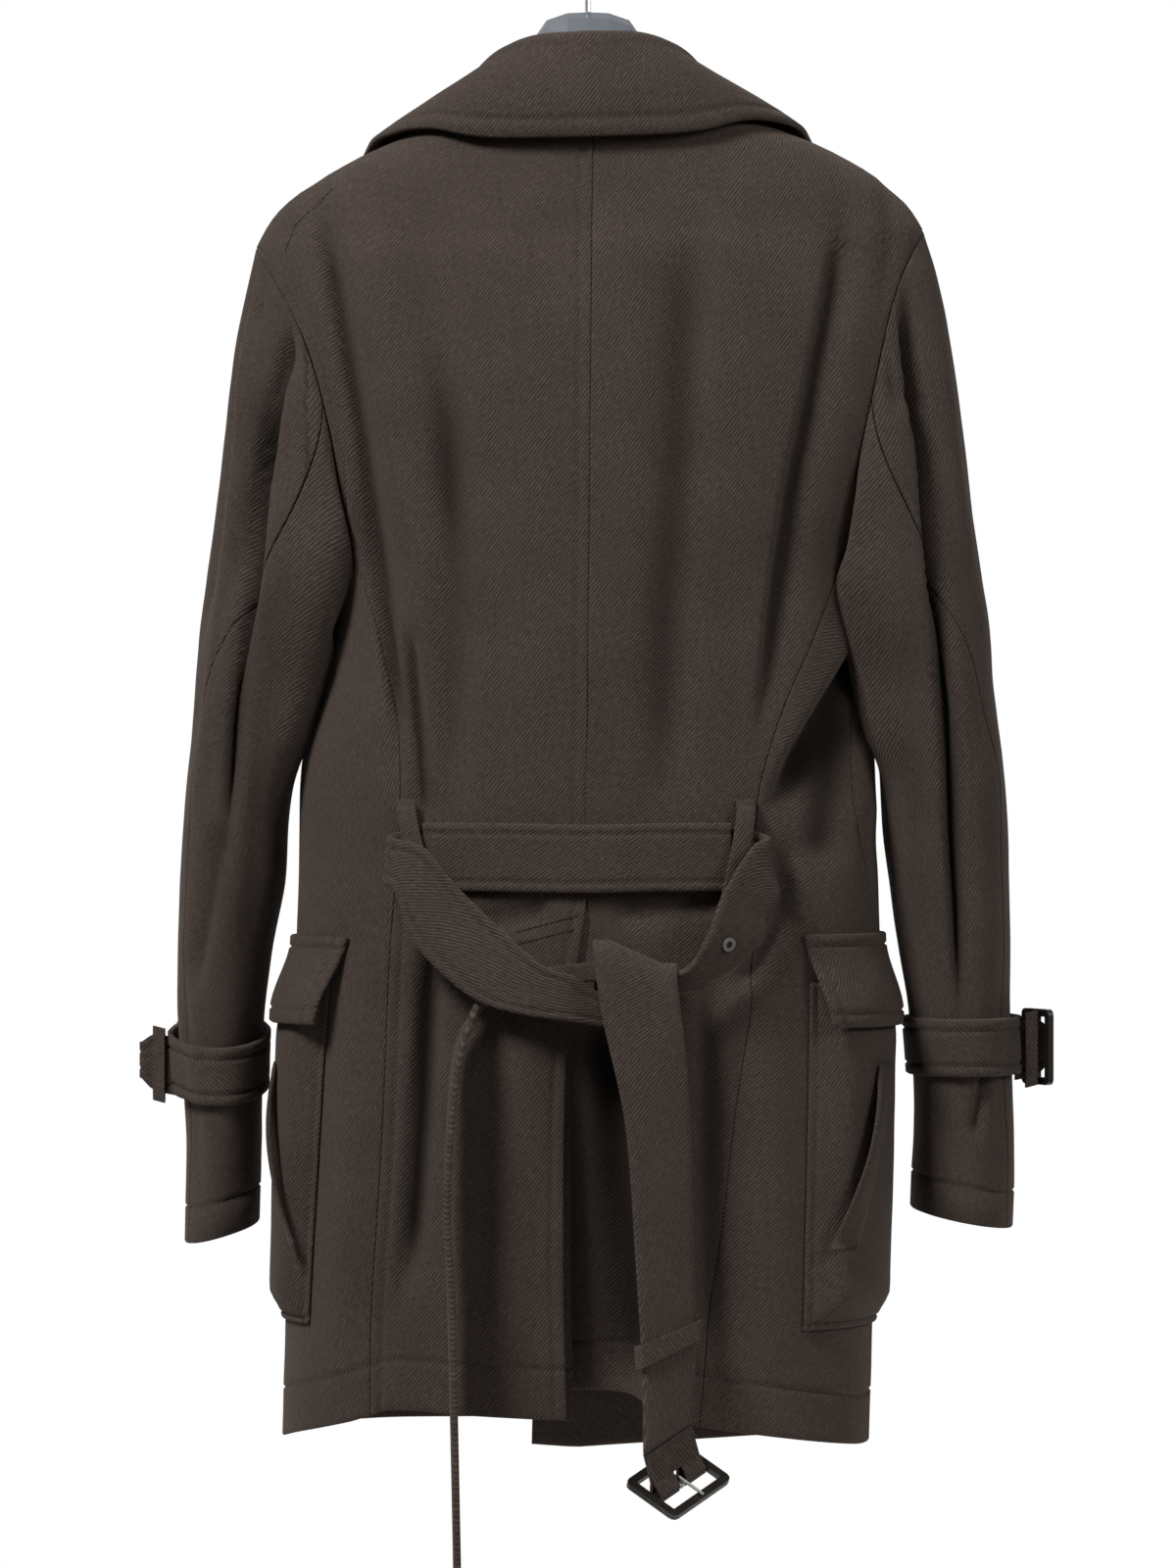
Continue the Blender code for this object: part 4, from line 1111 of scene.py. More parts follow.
def node(
    tree: bpy.types.NodeTree, kind: str, settings: dict[str, Any], sockets: dict[Any, Any]
) -> bpy.types.Node:
    """Adds a shader node.

    Args:
        tree: the material's node tree.
        kind: the node's type.
        settings: the node's own attributes.
        sockets: input name or number to a value, or to an output socket to link.

    Returns:
        The node.
    """
    made = tree.nodes.new(kind)
    for name, value in settings.items():
        setattr(made, name, value)
    for name, value in sockets.items():
        if isinstance(value, bpy.types.NodeSocket):
            tree.links.new(value, made.inputs[name])
        else:
            made.inputs[name].default_value = value
    return made


@dataclass(frozen=True)
class Finish:
    """A plain finish of one material."""

    name: str
    slot: str
    colour: str
    roughness: float
    metallic: float = 0.0
    coat: float = 0.0
    grain: float = 0.0
    grain_scale: float = 900.0

    def material(self) -> bpy.types.Material:
        """The material, made once, with a fine grain in the surface where it has one."""
        found = bpy.data.materials.get(self.name)
        if found:
            return found
        made = bpy.data.materials.new(self.name)
        made.use_nodes = True
        tree = made.node_tree
        shader = tree.nodes["Principled BSDF"]
        shader.inputs["Base Color"].default_value = linear(self.colour)
        shader.inputs["Roughness"].default_value = self.roughness
        shader.inputs["Metallic"].default_value = self.metallic
        shader.inputs["Coat Weight"].default_value = self.coat
        if self.grain:
            where = node(tree, "ShaderNodeTexCoord", {}, {}).outputs["Object"]
            grain = {"Vector": where, "Scale": self.grain_scale, "Detail": 3.0}
            speck = node(tree, "ShaderNodeTexNoise", {}, grain)
            bump = node(
                tree,
                "ShaderNodeBump",
                {},
                {"Strength": self.grain, "Distance": 0.0004, "Height": speck.outputs["Fac"]},
            )
            tree.links.new(bump.outputs["Normal"], shader.inputs["Normal"])
        return made


# Black leather drawn over the buckle frames, softly shining and finely grained.
LEATHER = Finish("black_leather_wrap", "black_leather", "#17130f", 0.42, 0.0, 0.25, 0.35, 700.0)
# Dark nickel of the eyelet and the prong.
NICKEL = Finish("dark_nickel", "dark_metal", "#a5a29c", 0.36, 0.7, 0.0, 0.1, 1500.0)
# Dark horn of the front buttons.
HORN = Finish("dark_horn", "horn_button", "#2a201a", 0.35, 0.0, 0.15, 0.1, 120.0)
# Brown sewing thread, a little darker than the cloth.
THREAD = Finish("sewing_thread", "", "#241d19", 0.9)
# Grey moulded plastic of the hanger.
MOULDED = Finish("grey_moulded_plastic", "grey_plastic", "#5d6268", 0.5, 0.0, 0.0, 0.12, 1400.0)
# Plain steel wire of the hook.
WIRE = Finish("steel_wire", "hook_steel", "#b9b8b4", 0.28, 1.0)


@dataclass(frozen=True)
class WoolTwill:
    """Heavy brown wool twill: ribs on a slant, a heathered yarn and a short nap with a soft sheen, with
    painted shade darkening it in deep creases.
    """

    name: str
    grain: Grain
    slot: str = "wool_twill"
    dark: str = "#2e2622"
    mid: str = "#3f3631"
    light: str = "#574c46"
    # Painted shade: the dark colour mixed into the cloth where its creases are deep.
    painted_crease_shade: str = "#120e0b"
    rib_pitch: float = 2.0
    rib_angle: float = 52.0
    on_solid: bool = False

    def material(self) -> bpy.types.Material:
        """The cloth's material, made once, on the piece's UV map in metres or in a solid's own frame.

        Returns:
            The material.
        """
        found = bpy.data.materials.get(self.name)
        if found:
            return found
        made = bpy.data.materials.new(self.name)
        made.use_nodes = True
        tree = made.node_tree
        shader = tree.nodes["Principled BSDF"]
        if self.on_solid:
            place = node(tree, "ShaderNodeTexCoord", {}, {}).outputs["Object"]
            upright = {"Vector": place, "Rotation": (-math.pi / 2, 0.0, 0.0)}
            where = node(tree, "ShaderNodeMapping", {}, upright).outputs["Vector"]
        else:
            where = node(tree, "ShaderNodeUVMap", {"uv_map": "cloth"}, {}).outputs["UV"]
        slant = math.radians(self.rib_angle) * self.grain.value
        along = node(
            tree, "ShaderNodeMapping", {}, {"Vector": where, "Rotation": (0.0, 0.0, -slant)}
        ).outputs["Vector"]
        ribs = node(
            tree,
            "ShaderNodeTexWave",
            {"wave_type": "BANDS", "bands_direction": "Y", "wave_profile": "SIN"},
            {
                "Vector": along,
                "Scale": 0.314 / (self.rib_pitch * MM),
                "Distortion": 1.6,
                "Detail": 2.0,
                "Detail Scale": 1.5,
                "Detail Roughness": 0.6,
            },
        ).outputs["Fac"]
        stretched = node(tree, "ShaderNodeMapping", {}, {"Vector": along, "Scale": (210.0, 760.0, 1.0)})
        yarn = node(
            tree,
            "ShaderNodeTexNoise",
            {},
            {"Vector": stretched.outputs["Vector"], "Scale": 1.0, "Detail": 4.0, "Roughness": 0.65},
        ).outputs["Fac"]
        worn = {"Vector": where, "Scale": 16.0, "Detail": 3.0, "Roughness": 0.55}
        patch = node(tree, "ShaderNodeTexNoise", {}, worn).outputs["Fac"]
        nap = {"Vector": where, "Scale": 1900.0, "Detail": 2.0, "Roughness": 0.7}
        fuzz = node(tree, "ShaderNodeTexNoise", {}, nap).outputs["Fac"]

        def add(value: bpy.types.NodeSocket, share: float, base: Any) -> bpy.types.NodeSocket:
            """A share of one value added to another."""
            terms = {0: value, 1: share, 2: base}
            return node(tree, "ShaderNodeMath", {"operation": "MULTIPLY_ADD"}, terms).outputs[0]

        weave = add(ribs, 0.27, add(yarn, 0.84, -0.1))
        tone = add(patch, 0.22, weave)
        ramp = node(tree, "ShaderNodeValToRGB", {}, {"Fac": tone})
        ramp.color_ramp.elements[0].position = 0.3
        ramp.color_ramp.elements[0].color = linear(self.dark)
        ramp.color_ramp.elements[1].position = 0.82
        ramp.color_ramp.elements[1].color = linear(self.light)
        middle = ramp.color_ramp.elements.new(0.55)
        middle.color = linear(self.mid)
        # Painted shade in the creases: the weave's colour is mixed toward the dark crease colour by the
        # per-vertex painted shade share.
        deep = node(tree, "ShaderNodeAttribute", {"attribute_name": "painted_crease_shade"}, {}).outputs["Fac"]
        shaded = node(tree, "ShaderNodeMix", {"data_type": "RGBA"}, {"Factor": deep})
        tree.links.new(ramp.outputs["Color"], shaded.inputs[6])
        shaded.inputs[7].default_value = linear(self.painted_crease_shade)
        tree.links.new(shaded.outputs[2], shader.inputs["Base Color"])
        raised = add(fuzz, 0.35, weave)
        bump = node(tree, "ShaderNodeBump", {}, {"Strength": 0.8, "Distance": 0.0012, "Height": raised})
        tree.links.new(bump.outputs["Normal"], shader.inputs["Normal"])
        shader.inputs["Roughness"].default_value = 0.96
        shader.inputs["Specular IOR Level"].default_value = 0.15
        shader.inputs["Sheen Weight"].default_value = 0.28
        shader.inputs["Sheen Roughness"].default_value = 0.55
        shader.inputs["Sheen Tint"].default_value = linear("#8d7f74")
        return made


BODY_TWILL = WoolTwill("brown_wool_twill", Grain.BODY)
BELT_TWILL = WoolTwill("brown_wool_twill_turned", Grain.ACROSS)
FOLD_TWILL = WoolTwill("brown_wool_twill_small", Grain.ACROSS, on_solid=True)


def dress(obj: bpy.types.Object, finish: Finish | WoolTwill, body: str, *nodes: str) -> bpy.types.Object:
    """Gives a piece its finish, its body and the solids it stands for.

    Args:
        obj: the piece.
        finish: its finish.
        body: the CAD body it rides on.
        nodes: the CAD nodes it replaces.

    Returns:
        The piece.
    """
    obj.data.materials.append(finish.material())
    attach(obj, body)
    if nodes:
        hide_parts(*nodes)
    return obj


def declare_sheet(obj: bpy.types.Object) -> None:
    """States a cloth piece as a sheet, cut to its own lengths along the cloth.

    Args:
        obj: the piece, with its UV map in metres.
    """
    layer = obj.data.uv_layers["cloth"].data
    us = [item.uv.x for item in layer]
    vs = [item.uv.y for item in layer]
    wide, long = max(us) - min(us), max(vs) - min(vs)
    area = sum(face.area for face in obj.data.polygons) / 2
    LOG.info("sheet %s cut %.3f x %.3f m, %.4f m2", obj.name, wide, long, area)


BACK_CREASES = Creases(
    Crease(7.0, -9.5, ((-184, 840), (-168, 760), (-150, 660), (-138, 570), (-128, 491), (-122, 410)), 0.5),
    Crease(7.0, 3.0, ((-186, 780), (-170, 700), (-160, 650), (-150, 580))),
    Crease(5.5, -9.0, ((-116, 540), (-111, 470), (-106, 395)), 0.3),
    Crease(18.0, -4.0, ((-112, 812), (-104, 720), (-96, 640), (-90, 560))),
    Crease(12.0, -6.0, ((-97, 720), (-88, 580), (-87, 500), (-91, 450), (-95, 370)), 0.2),
    Crease(10.0, 3.5, ((-118, 660), (-108, 560), (-101, 460))),
    Crease(16.0, -8.5, ((70, 826), (62, 756), (59, 650), (50, 534), (46, 370))),
    Crease(8.5, -9.5, ((168, 830), (158, 756), (145, 690), (131, 621), (121, 549), (108, 440)), 0.5),
    Crease(7.0, -4.0, ((196, 834), (199, 730))),
    Crease(12.0, -16.0, ((200, 610), (186, 525), (164, 491), (140, 455), (112, 404)), 0.5),
    Crease(14.0, -9.0, ((178, 490), (162, 440), (150, 370))),
    Crease(13.0, 4.0, ((198, 510), (188, 455), (178, 390))),
    Crease(7.5, -12.0, ((-100, 360), (-105, 290), (-108, 230), (-113, 160), (-120, 90)), 0.3),
    Crease(14.0, 4.0, ((-40, 310), (-46, 200), (-50, 60))),
    Crease(14.0, -14.0, ((6, 310), (13, 230), (18, 173), (24, 110), (28, 20))),
    Crease(9.0, -4.0, ((95, 357), (50, 352), (8, 346))),
    Crease(8.0, -5.0, ((-20, 352), (-50, 346), (-90, 338))),
    Crease(7.0, -7.0, ((127, 400), (127, 345), (110, 314), (84, 298))),
    Crease(10.0, -8.0, ((80, 340), (77, 240), (78, 160), (84, 30))),
    Crease(16.0, 3.5, ((112, 330), (118, 220), (124, 40))),
    Crease(15.0, 3.5, ((-150, 340), (-154, 220), (-158, 40))),
)
FRONT_CREASES = Creases(
    Crease(15.0, -3.6, ((150, 770), (126, 690), (104, 600), (88, 490))),
    Crease(14.0, -3.2, ((-146, 760), (-124, 680), (-98, 560), (-86, 470))),
    Crease(10.0, -4.0, ((184, 560), (160, 500), (132, 440))),
    Crease(12.0, 2.4, ((-60, 640), (-54, 560), (-52, 470))),
    Crease(17.0, -4.2, ((-62, 360), (-78, 240), (-94, 70))),
    Crease(15.0, -3.4, ((70, 350), (80, 230), (94, 80))),
    Crease(12.0, 2.6, ((118, 340), (126, 220), (130, 80))),
)


def ruffle(point: Vector, size: float, height: float) -> float:
    """A slight unevenness of cloth at a point.

    Args:
        point: the place in metres.
        size: the length of its waves in millimetres.
        height: how far it moves the cloth.

    Returns:
        Millimetres outward.
    """
    return noise.noise(point / (size * MM)) * height


def settled(point: Vector) -> Vector:
    """A point of the body or a sleeve, where the coat has slid over on the hanger at the right armhole."""
    x, height = point.x / MM, height_of(point)
    share = smooth(x, 110, 172) * (1 - smooth(x, 190, 264))
    share *= smooth(height, 415, 520) * (1 - smooth(height, 690, 800))
    return point + Vector((SLIDE * share * MM, 0, 0))


def armhole_marks() -> KDTree:
    """Points along both armhole seams, to find how far a place lies from them.

    Returns:
        The points in a search tree.
    """
    places = [BODY.armhole(side, around) + (side,) for side in Side for around in range(0, 360, 3)]
    marks = KDTree(len(places))
    for index, (turn, height, _) in enumerate(places):
        marks.insert(settled(BODY.surface(turn, height)), index)
    marks.balance()
    return marks


ARMHOLES = armhole_marks()


def body_push(point: Vector, _: Stop | None = None) -> float:
    """How far the creases move the body's cloth out at a point, the same for every panel there."""
    x, height = point.x / MM, height_of(point)
    calm = smooth(ARMHOLES.find(point)[2] / MM, 0.5, 20)
    part = smooth(point.y / MM, -25, 25)
    fade = 1 - smooth(height, 826, 846)
    total = mix(BACK_CREASES.push(x, height), FRONT_CREASES.push(x, height), part) * fade
    return calm * (total + ruffle(point, 70, 0.5) + ruffle(point, 26, 0.25))


SEAM_END = sorted(edge_lines(0.0, -1.0, Hem.SEAM), key=lambda stop: stop.shift)


@dataclass(frozen=True)
class BodyPanels:
    """The cloth of one half of the coat's body: back, side panel and front."""

    side: Side
    pitch: float = 5.6
    vent_lap: float = 40.0
    vent_dip: float = 3.4
    vent_gape: float = 19.0
    over: float = 72.0
    under: float = 30.0
    tuck: float = 3.2
    hem_row: float = 34.0

    def back_point(self, across: Stop, along: Stop) -> Vector:
        """A point of the back half's outer face.

        Args:
            across: from the centre back to the princess seam, armhole and shoulder.
            along: the height above the hem.

        Returns:
            The point in metres.
        """
        sign, height = self.side.value, along.shift
        middle, dip = CENTRE_BACK.read("sideways", height), 0.0
        if self.side is Side.LEFT and height < VENT_EDGE.at[-1]:
            middle = VENT_EDGE.read("sideways", height)
        if self.side is Side.RIGHT:
            dip = self.vent_dip + self.vent_gape * (1 - smooth(height, 0, 300))
            dip *= 1 - smooth(height, 328, 344)
            middle -= self.vent_lap * (1 - smooth(height, 300, 324))
        outer = sign * 90.0
        if height <= BODY.princess_top:
            outer = BODY.princess(self.side, height)
        elif height < BODY.tip:
            outer = sign * BODY.arm_turn(height, False)
        start = BODY.nudge(BODY.turn_at(middle, height), height, sign * SEAM / 2)
        end = BODY.nudge(outer, height, -sign * SEAM * 0.8)
        turn = BODY.nudge(mix(start, end, across.part), height, sign * across.shift)
        if height <= BODY.princess_top:
            low = HEM[self.side].read("height", turn)
            height = low + height * (BODY.princess_top - low) / BODY.princess_top
        if height > BODY.tip:
            share = (BODY.neck_height(abs(turn)) - BODY.tip) / (BODY.neck_point - BODY.tip)
            height = BODY.tip + (height - BODY.tip) * share
        away = sign * (turn - BODY.turn_at(CENTRE_BACK.read("sideways", height), height))
        return settled(BODY.point(turn, height, -dip * (1 - smooth(away, -2, 17))))

    def side_point(self, across: Stop, along: Stop) -> Vector:
        """A point of the side panel's outer face.

        Args:
            across: from the princess seam to the side seam.
            along: the share of the height up to the armhole, as a shift out of its top.

        Returns:
            The point in metres.
        """
        sign, part = self.side.value, along.shift / BODY.princess_top
        around = mix(BODY.princess_start, -90.0, across.part)
        top_turn, top = BODY.armhole(self.side, around)

        def between(height: float) -> float:
            """The turn between the two seams at a height."""
            first = BODY.princess(self.side, height * BODY.princess_top / top)
            return mix(first, BODY.side_seam(self.side, height * BODY.underarm / top), across.part)

        turn = between(top * part) + (top_turn - between(top)) * part**8
        turn = BODY.nudge(turn, top * part, sign * (SEAM * (0.8 - 1.6 * across.part) + across.shift))
        low = HEM[self.side].read("height", turn)
        return settled(BODY.surface(turn, low + part * (top - SEAM * part - low)))

    def front_point(self, across: Stop, along: Stop) -> Vector:
        """A point of the front's outer face.

        Args:
            across: from the side seam, armhole and shoulder to the front's edge.
            along: the height above the hem.

        Returns:
            The point in metres.
        """
        sign, height = self.side.value, along.shift
        outer = sign * 90.0
        if height <= BODY.underarm:
            outer = BODY.side_seam(self.side, height)
        elif height < BODY.tip:
            outer = sign * BODY.arm_turn(height, True)
        over = self.over if self.side is Side.LEFT else self.under
        half = BODY_RINGS.read("half_width", height)
        inner = 180 + math.degrees(math.asin(over / half))
        if height > BODY.neck_point - BODY.front_neck_drop - 2:
            rise = min(max((BODY.neck_point - height) / BODY.front_neck_drop, 0.0), 0.995)
            reach = BODY.neck_half * math.sqrt(1 - rise * rise)
            inner = max(180 - math.degrees(math.asin(reach / max(half, reach + 0.5))), 91.5)
        start = BODY.nudge(outer, height, sign * SEAM / 2)
        turn = mix(start, sign * inner, across.part)
        turn = BODY.nudge(turn, height, sign * across.shift)
        if height <= BODY.underarm:
            low = HEM[self.side].read("height", turn if abs(turn) < 180 else sign * (360 - abs(turn)))
            height = low + height / BODY.underarm * (BODY.underarm - low)
        tuck = self.tuck * smooth(abs(turn), 132, 150) if self.side is Side.RIGHT else 0.0
        return settled(BODY.point(turn, height, -tuck))

    def build(self) -> list[bpy.types.Object]:
        """Builds the three panels.

        Returns:
            The panels, dressed.
        """
        word, top = self.side.word, BODY.neck_point
        arm = [BODY.tip - step for step in (9.0, 4.0, 1.2)]
        back_rows = levels(0, BODY.princess_top, self.pitch, (self.hem_row,))
        back_rows += levels(BODY.princess_top, BODY.tip - 12, self.pitch)[2:-2]
        back_rows += [Stop(0.0, value) for value in arm] + levels(BODY.tip, top, self.pitch)[:1]
        back_rows += levels(BODY.tip, top, self.pitch)[2:]
        front_rows = levels(0, BODY.underarm, self.pitch, (self.hem_row,))[:-2]
        front_rows += [Stop(0.0, BODY.underarm + step) for step in (0.0, 1.4, 5.0)]
        front_rows += levels(BODY.underarm + 8, BODY.tip - 12, self.pitch)[2:-2]
        front_rows += [Stop(0.0, value) for value in arm] + levels(BODY.tip, top, self.pitch)[:1]
        front_rows += levels(BODY.tip, top, self.pitch)[2:]
        centre = (7.7,) if self.side is Side.LEFT else ()
        outer = (7.5,) if self.side is Side.LEFT else ()
        seams = (Hem.SEAM, Hem.SEAM)
        made = []
        columns = stops(46, centre, outer, hems=seams)
        shell = ClothShell(f"cloth_back_{word}", self.back_point, columns, back_rows)
        piece = shell.build(0.0, -CLOTH, body_push, Vector((0, -1, 0)))
        made.append(dress(piece, BODY_TWILL, ROOT, f"back_{word}"))
        rows = levels(0, BODY.princess_top, self.pitch, (self.hem_row,))
        rows = rows[:-2] + [Stop(0.0, BODY.princess_top + stop.shift, 0.0, stop.turned) for stop in SEAM_END]
        shell = ClothShell(f"cloth_side_{word}", self.side_point, stops(24, hems=seams), rows)
        piece = shell.build(0.0, -CLOTH, body_push, Vector((self.side.value, 0, 0)))
        made.append(dress(piece, BODY_TWILL, ROOT, f"side_{word}"))
        columns = stops(40, (), (12.0,), hems=(Hem.SEAM, Hem.FREE))
        shell = ClothShell(f"cloth_front_{word}", self.front_point, columns, front_rows)
        piece = shell.build(0.0, -CLOTH, body_push, Vector((0, 1, 0)))
        made.append(dress(piece, BODY_TWILL, ROOT, f"front_{word}"))
        for piece in made:
            declare_sheet(piece)
        return made


SLEEVE_CREASES = {
    Side.LEFT: Creases(
        Crease(7.5, -11.0, ((-36, 752), (-18, 716), (-4, 690), (12, 620)), -0.35),
        Crease(9.0, -13.0, ((10, 705), (14, 600), (12, 534), (8, 470), (2, 370)), -0.3),
        Crease(9.0, -5.0, ((60, 770), (66, 640), (70, 500))),
        Crease(5.0, -5.0, ((14, 784), (26, 755), (34, 722))),
        Crease(4.0, -4.0, ((48, 778), (54, 750), (60, 712))),
        Crease(13.0, 6.0, ((44, 770), (42, 640), (42, 520), (44, 390))),
        Crease(18.0, 4.0, ((-40, 620), (-44, 520), (-38, 420))),
        Crease(25.0, 12.0, ((-66, 740), (-64, 640), (-62, 560), (-60, 480), (-58, 400))),
        Crease(9.0, -7.0, ((-96, 590), (-70, 560), (-60, 520))),
        Crease(14.0, -6.0, ((10, 410), (22, 350), (36, 290))),
        Crease(14.0, -4.5, ((150, 700), (160, 560), (156, 420))),
        Crease(13.0, -5.0, ((-150, 660), (-158, 520), (-150, 400))),
        Crease(16.0, 3.5, ((120, 540), (126, 420), (130, 310))),
    ),
    Side.RIGHT: Creases(
        Crease(9.5, -17.0, ((-18, 796), (-6, 735), (8, 650), (8, 570), (4, 506), (-2, 408), (-10, 240)), 0.5),
        Crease(16.0, 4.0, ((46, 770), (50, 650), (48, 520), (46, 370))),
        Crease(15.0, 5.0, ((-26, 680), (-24, 560), (-30, 400))),
        Crease(25.0, 12.0, ((-66, 740), (-64, 640), (-62, 560), (-60, 490), (-58, 415))),
        Crease(20.0, 7.0, ((-62, 590), (-60, 530), (-58, 480), (-56, 430))),
        Crease(7.0, -6.0, ((-46, 730), (-26, 704), (-8, 670))),
        Crease(9.0, -6.5, ((32, 252), (16, 225), (4, 196))),
        Crease(14.0, -5.0, ((150, 710), (160, 560), (152, 400))),
        Crease(13.0, -4.5, ((-152, 640), (-160, 500), (-150, 380))),
        Crease(16.0, 3.5, ((122, 560), (128, 420), (134, 310))),
    ),
}


@dataclass(frozen=True)
class Sleeve:
    """A two-piece sleeve with the strap, keeper and buckle at its cuff."""

    side: Side
    strap_height: float
    strap_start: float
    strap_end: float
    tip_seat: float
    strap_sag: float = 0.0
    strap_width: float = 38.0
    strap_thick: float = 4.0
    tip_long: float = 18.0
    pitch: float = 5.4

    @property
    def form(self) -> SleeveForm:
        """The sleeve's form."""
        return SLEEVES[self.side]

    def wound(self, point: Vector) -> float:
        """Degrees round the sleeve from its back to its outer side.

        Args:
            point: the place in metres.

        Returns:
            Degrees between -180 and 180.
        """
        rows, height = SLEEVE_RINGS[self.side], height_of(point)
        outer, inner = rows.read("outer", height), rows.read("inner", height)
        x = (self.side.value * point.x / MM - (outer + inner) / 2) / ((outer - inner) / 2)
        y = (rows.read("middle", height) - point.y / MM) / rows.read("half_depth", height)
        return math.degrees(math.atan2(x, y))

    def push(self, point: Vector, along: Stop) -> float:
        """How far the creases move the sleeve's cloth out at a point.

        Args:
            point: the place in metres.
            along: the line of the sleeve's run that it lies on.

        Returns:
            Millimetres outward.
        """
        wound, height = self.wound(point), height_of(point)
        near = 1 - smooth(abs(height - self.strap_height), 14, 30)
        total = SLEEVE_CREASES[self.side].push(wound, height)
        total = total + ruffle(point, 60, 0.6) + ruffle(point, 24, 0.3)
        total = min(total, mix(total, 0.0, near))
        return total * smooth(along.part + along.shift / 560.0, 0.001, 0.05)

    def half(self, name: str, start: float, end: float) -> bpy.types.Object:
        """One of the sleeve's two pieces.

        Args:
            name: the piece's name.
            start: degrees round the armhole at its first seam.
            end: degrees at its second seam.

        Returns:
            The piece.
        """
        form = self.form

        def surface(across: Stop, along: Stop) -> Vector:
            """A point by its place between the seams and its distance from the armhole."""
            around = mix(start + 0.42, end - 0.42, across.part) + across.shift * 0.95
            top = BODY.armhole(self.side, around)[1]
            length = top - form.low(around)
            return settled(form.surface(around, max(0.0004, 0.0013 + along.part + along.shift / length)))

        rows = stops(112, (), (24.0,), hems=(Hem.SEAM, Hem.FREE))
        shell = ClothShell(f"cloth_{name}", surface, stops(54, hems=(Hem.SEAM, Hem.SEAM)), rows)
        middle = -1.0 if start > 90 else 1.0
        facing = self.wound(surface(Stop(0.5), Stop(0.5)))

        def chart(point: Vector) -> tuple[float, float]:
            """A place on the flat sleeve, by the way round it and the height."""
            rows, height = SLEEVE_RINGS[self.side], height_of(point)
            half_wide = (rows.read("outer", height) - rows.read("inner", height)) / 2
            radius = (half_wide + rows.read("half_depth", height)) / 2
            away = (self.wound(point) - facing + 180) % 360 - 180
            return self.side.value * math.radians(away) * radius * MM, height * MM

        outward = Vector((self.side.value * middle, 0.0, 0.0))
        piece = shell.build(0.0, -CLOTH, self.push, outward, chart=chart)
        dress(piece, BODY_TWILL, ROOT, name)
        declare_sheet(piece)
        return piece

    def strap(self) -> bpy.types.Object:
        """The strap round the cuff.

        Returns:
            The piece.
        """
        form = self.form

        def surface(across: Stop, along: Stop) -> Vector:
            """A point of the strap's inner face."""
            wound = mix(self.strap_start, self.strap_end, across.part) + across.shift * 1.1
            around = wound - form.twist
            dip = self.strap_sag * math.cos(math.radians(wound))
            height = self.strap_height - dip + self.strap_width * (along.part - 0.5) + along.shift
            slack = 3.0 * max(math.sin(math.radians(wound)), 0.0) ** 2
            return form.point(around, form.along_at(around, height), LAID_ON + 0.3 + slack)

        name = f"cuff_strap_{self.side.word}"
        shell = ClothShell(f"cloth_{name}", surface, stops(84), stops(4, (7.5,), (7.5,)))
        piece = shell.build(self.strap_thick, 0.0, None, Vector((-self.side.value, 0, 0)))
        dress(piece, BELT_TWILL, ROOT, name)
        declare_sheet(piece)
        return piece

    def tip(self) -> bpy.types.Object:
        """The strap's free end past its keeper.

        Returns:
            The piece.
        """
        rows = SLEEVE_RINGS[self.side]
        outer, deep = rows.read("outer", self.strap_height), rows.read("middle", self.strap_height)

        def surface(across: Stop, along: Stop) -> Vector:
            """A point of the end's hind face."""
            place = along.part + along.shift / self.tip_long
            half = self.strap_width / 2 * mix(1.0, 0.62, smooth(place, 0.55, 1.0))
            x = outer + self.tip_seat - 6 + (self.tip_long + 6) * place
            y = deep - 16 + 10 * place + self.strap_thick / 2
            height = self.strap_height - 4 + half * (across.part * 2 - 1) + across.shift + 4 * place
            return placed(self.side.value * x, y, height)

        name = f"cuff_strap_tip_{self.side.word}"
        shell = ClothShell(f"cloth_{name}", surface, stops(4, (6.5,), (6.5,)), stops(6, (), (6.5,)))
        piece = shell.build(self.strap_thick, 0.0, None, Vector((0, -1, 0)))
        dress(piece, BELT_TWILL, ROOT, name)
        declare_sheet(piece)
        return piece

    def build(self) -> list[bpy.types.Object]:
        """Builds the sleeve's cloth.

        Returns:
            The pieces, dressed.
        """
        word = self.side.word
        return [
            self.half(f"sleeve_{word}_upper", 0.0, 180.0),
            self.half(f"sleeve_{word}_under", 180.0, 360.0),
            self.strap(),
            self.tip(),
        ]


# Rows of sewing at the vent's head and down the left shoulder, sideways and in height.
VENT_ROWS = (((-47, 337), (-6, 348)), ((-47, 329), (-9, 339)))
SHOULDER_ROWS = (((-166, 825), (-179, 813), (-191, 800), (-197, 784)),)


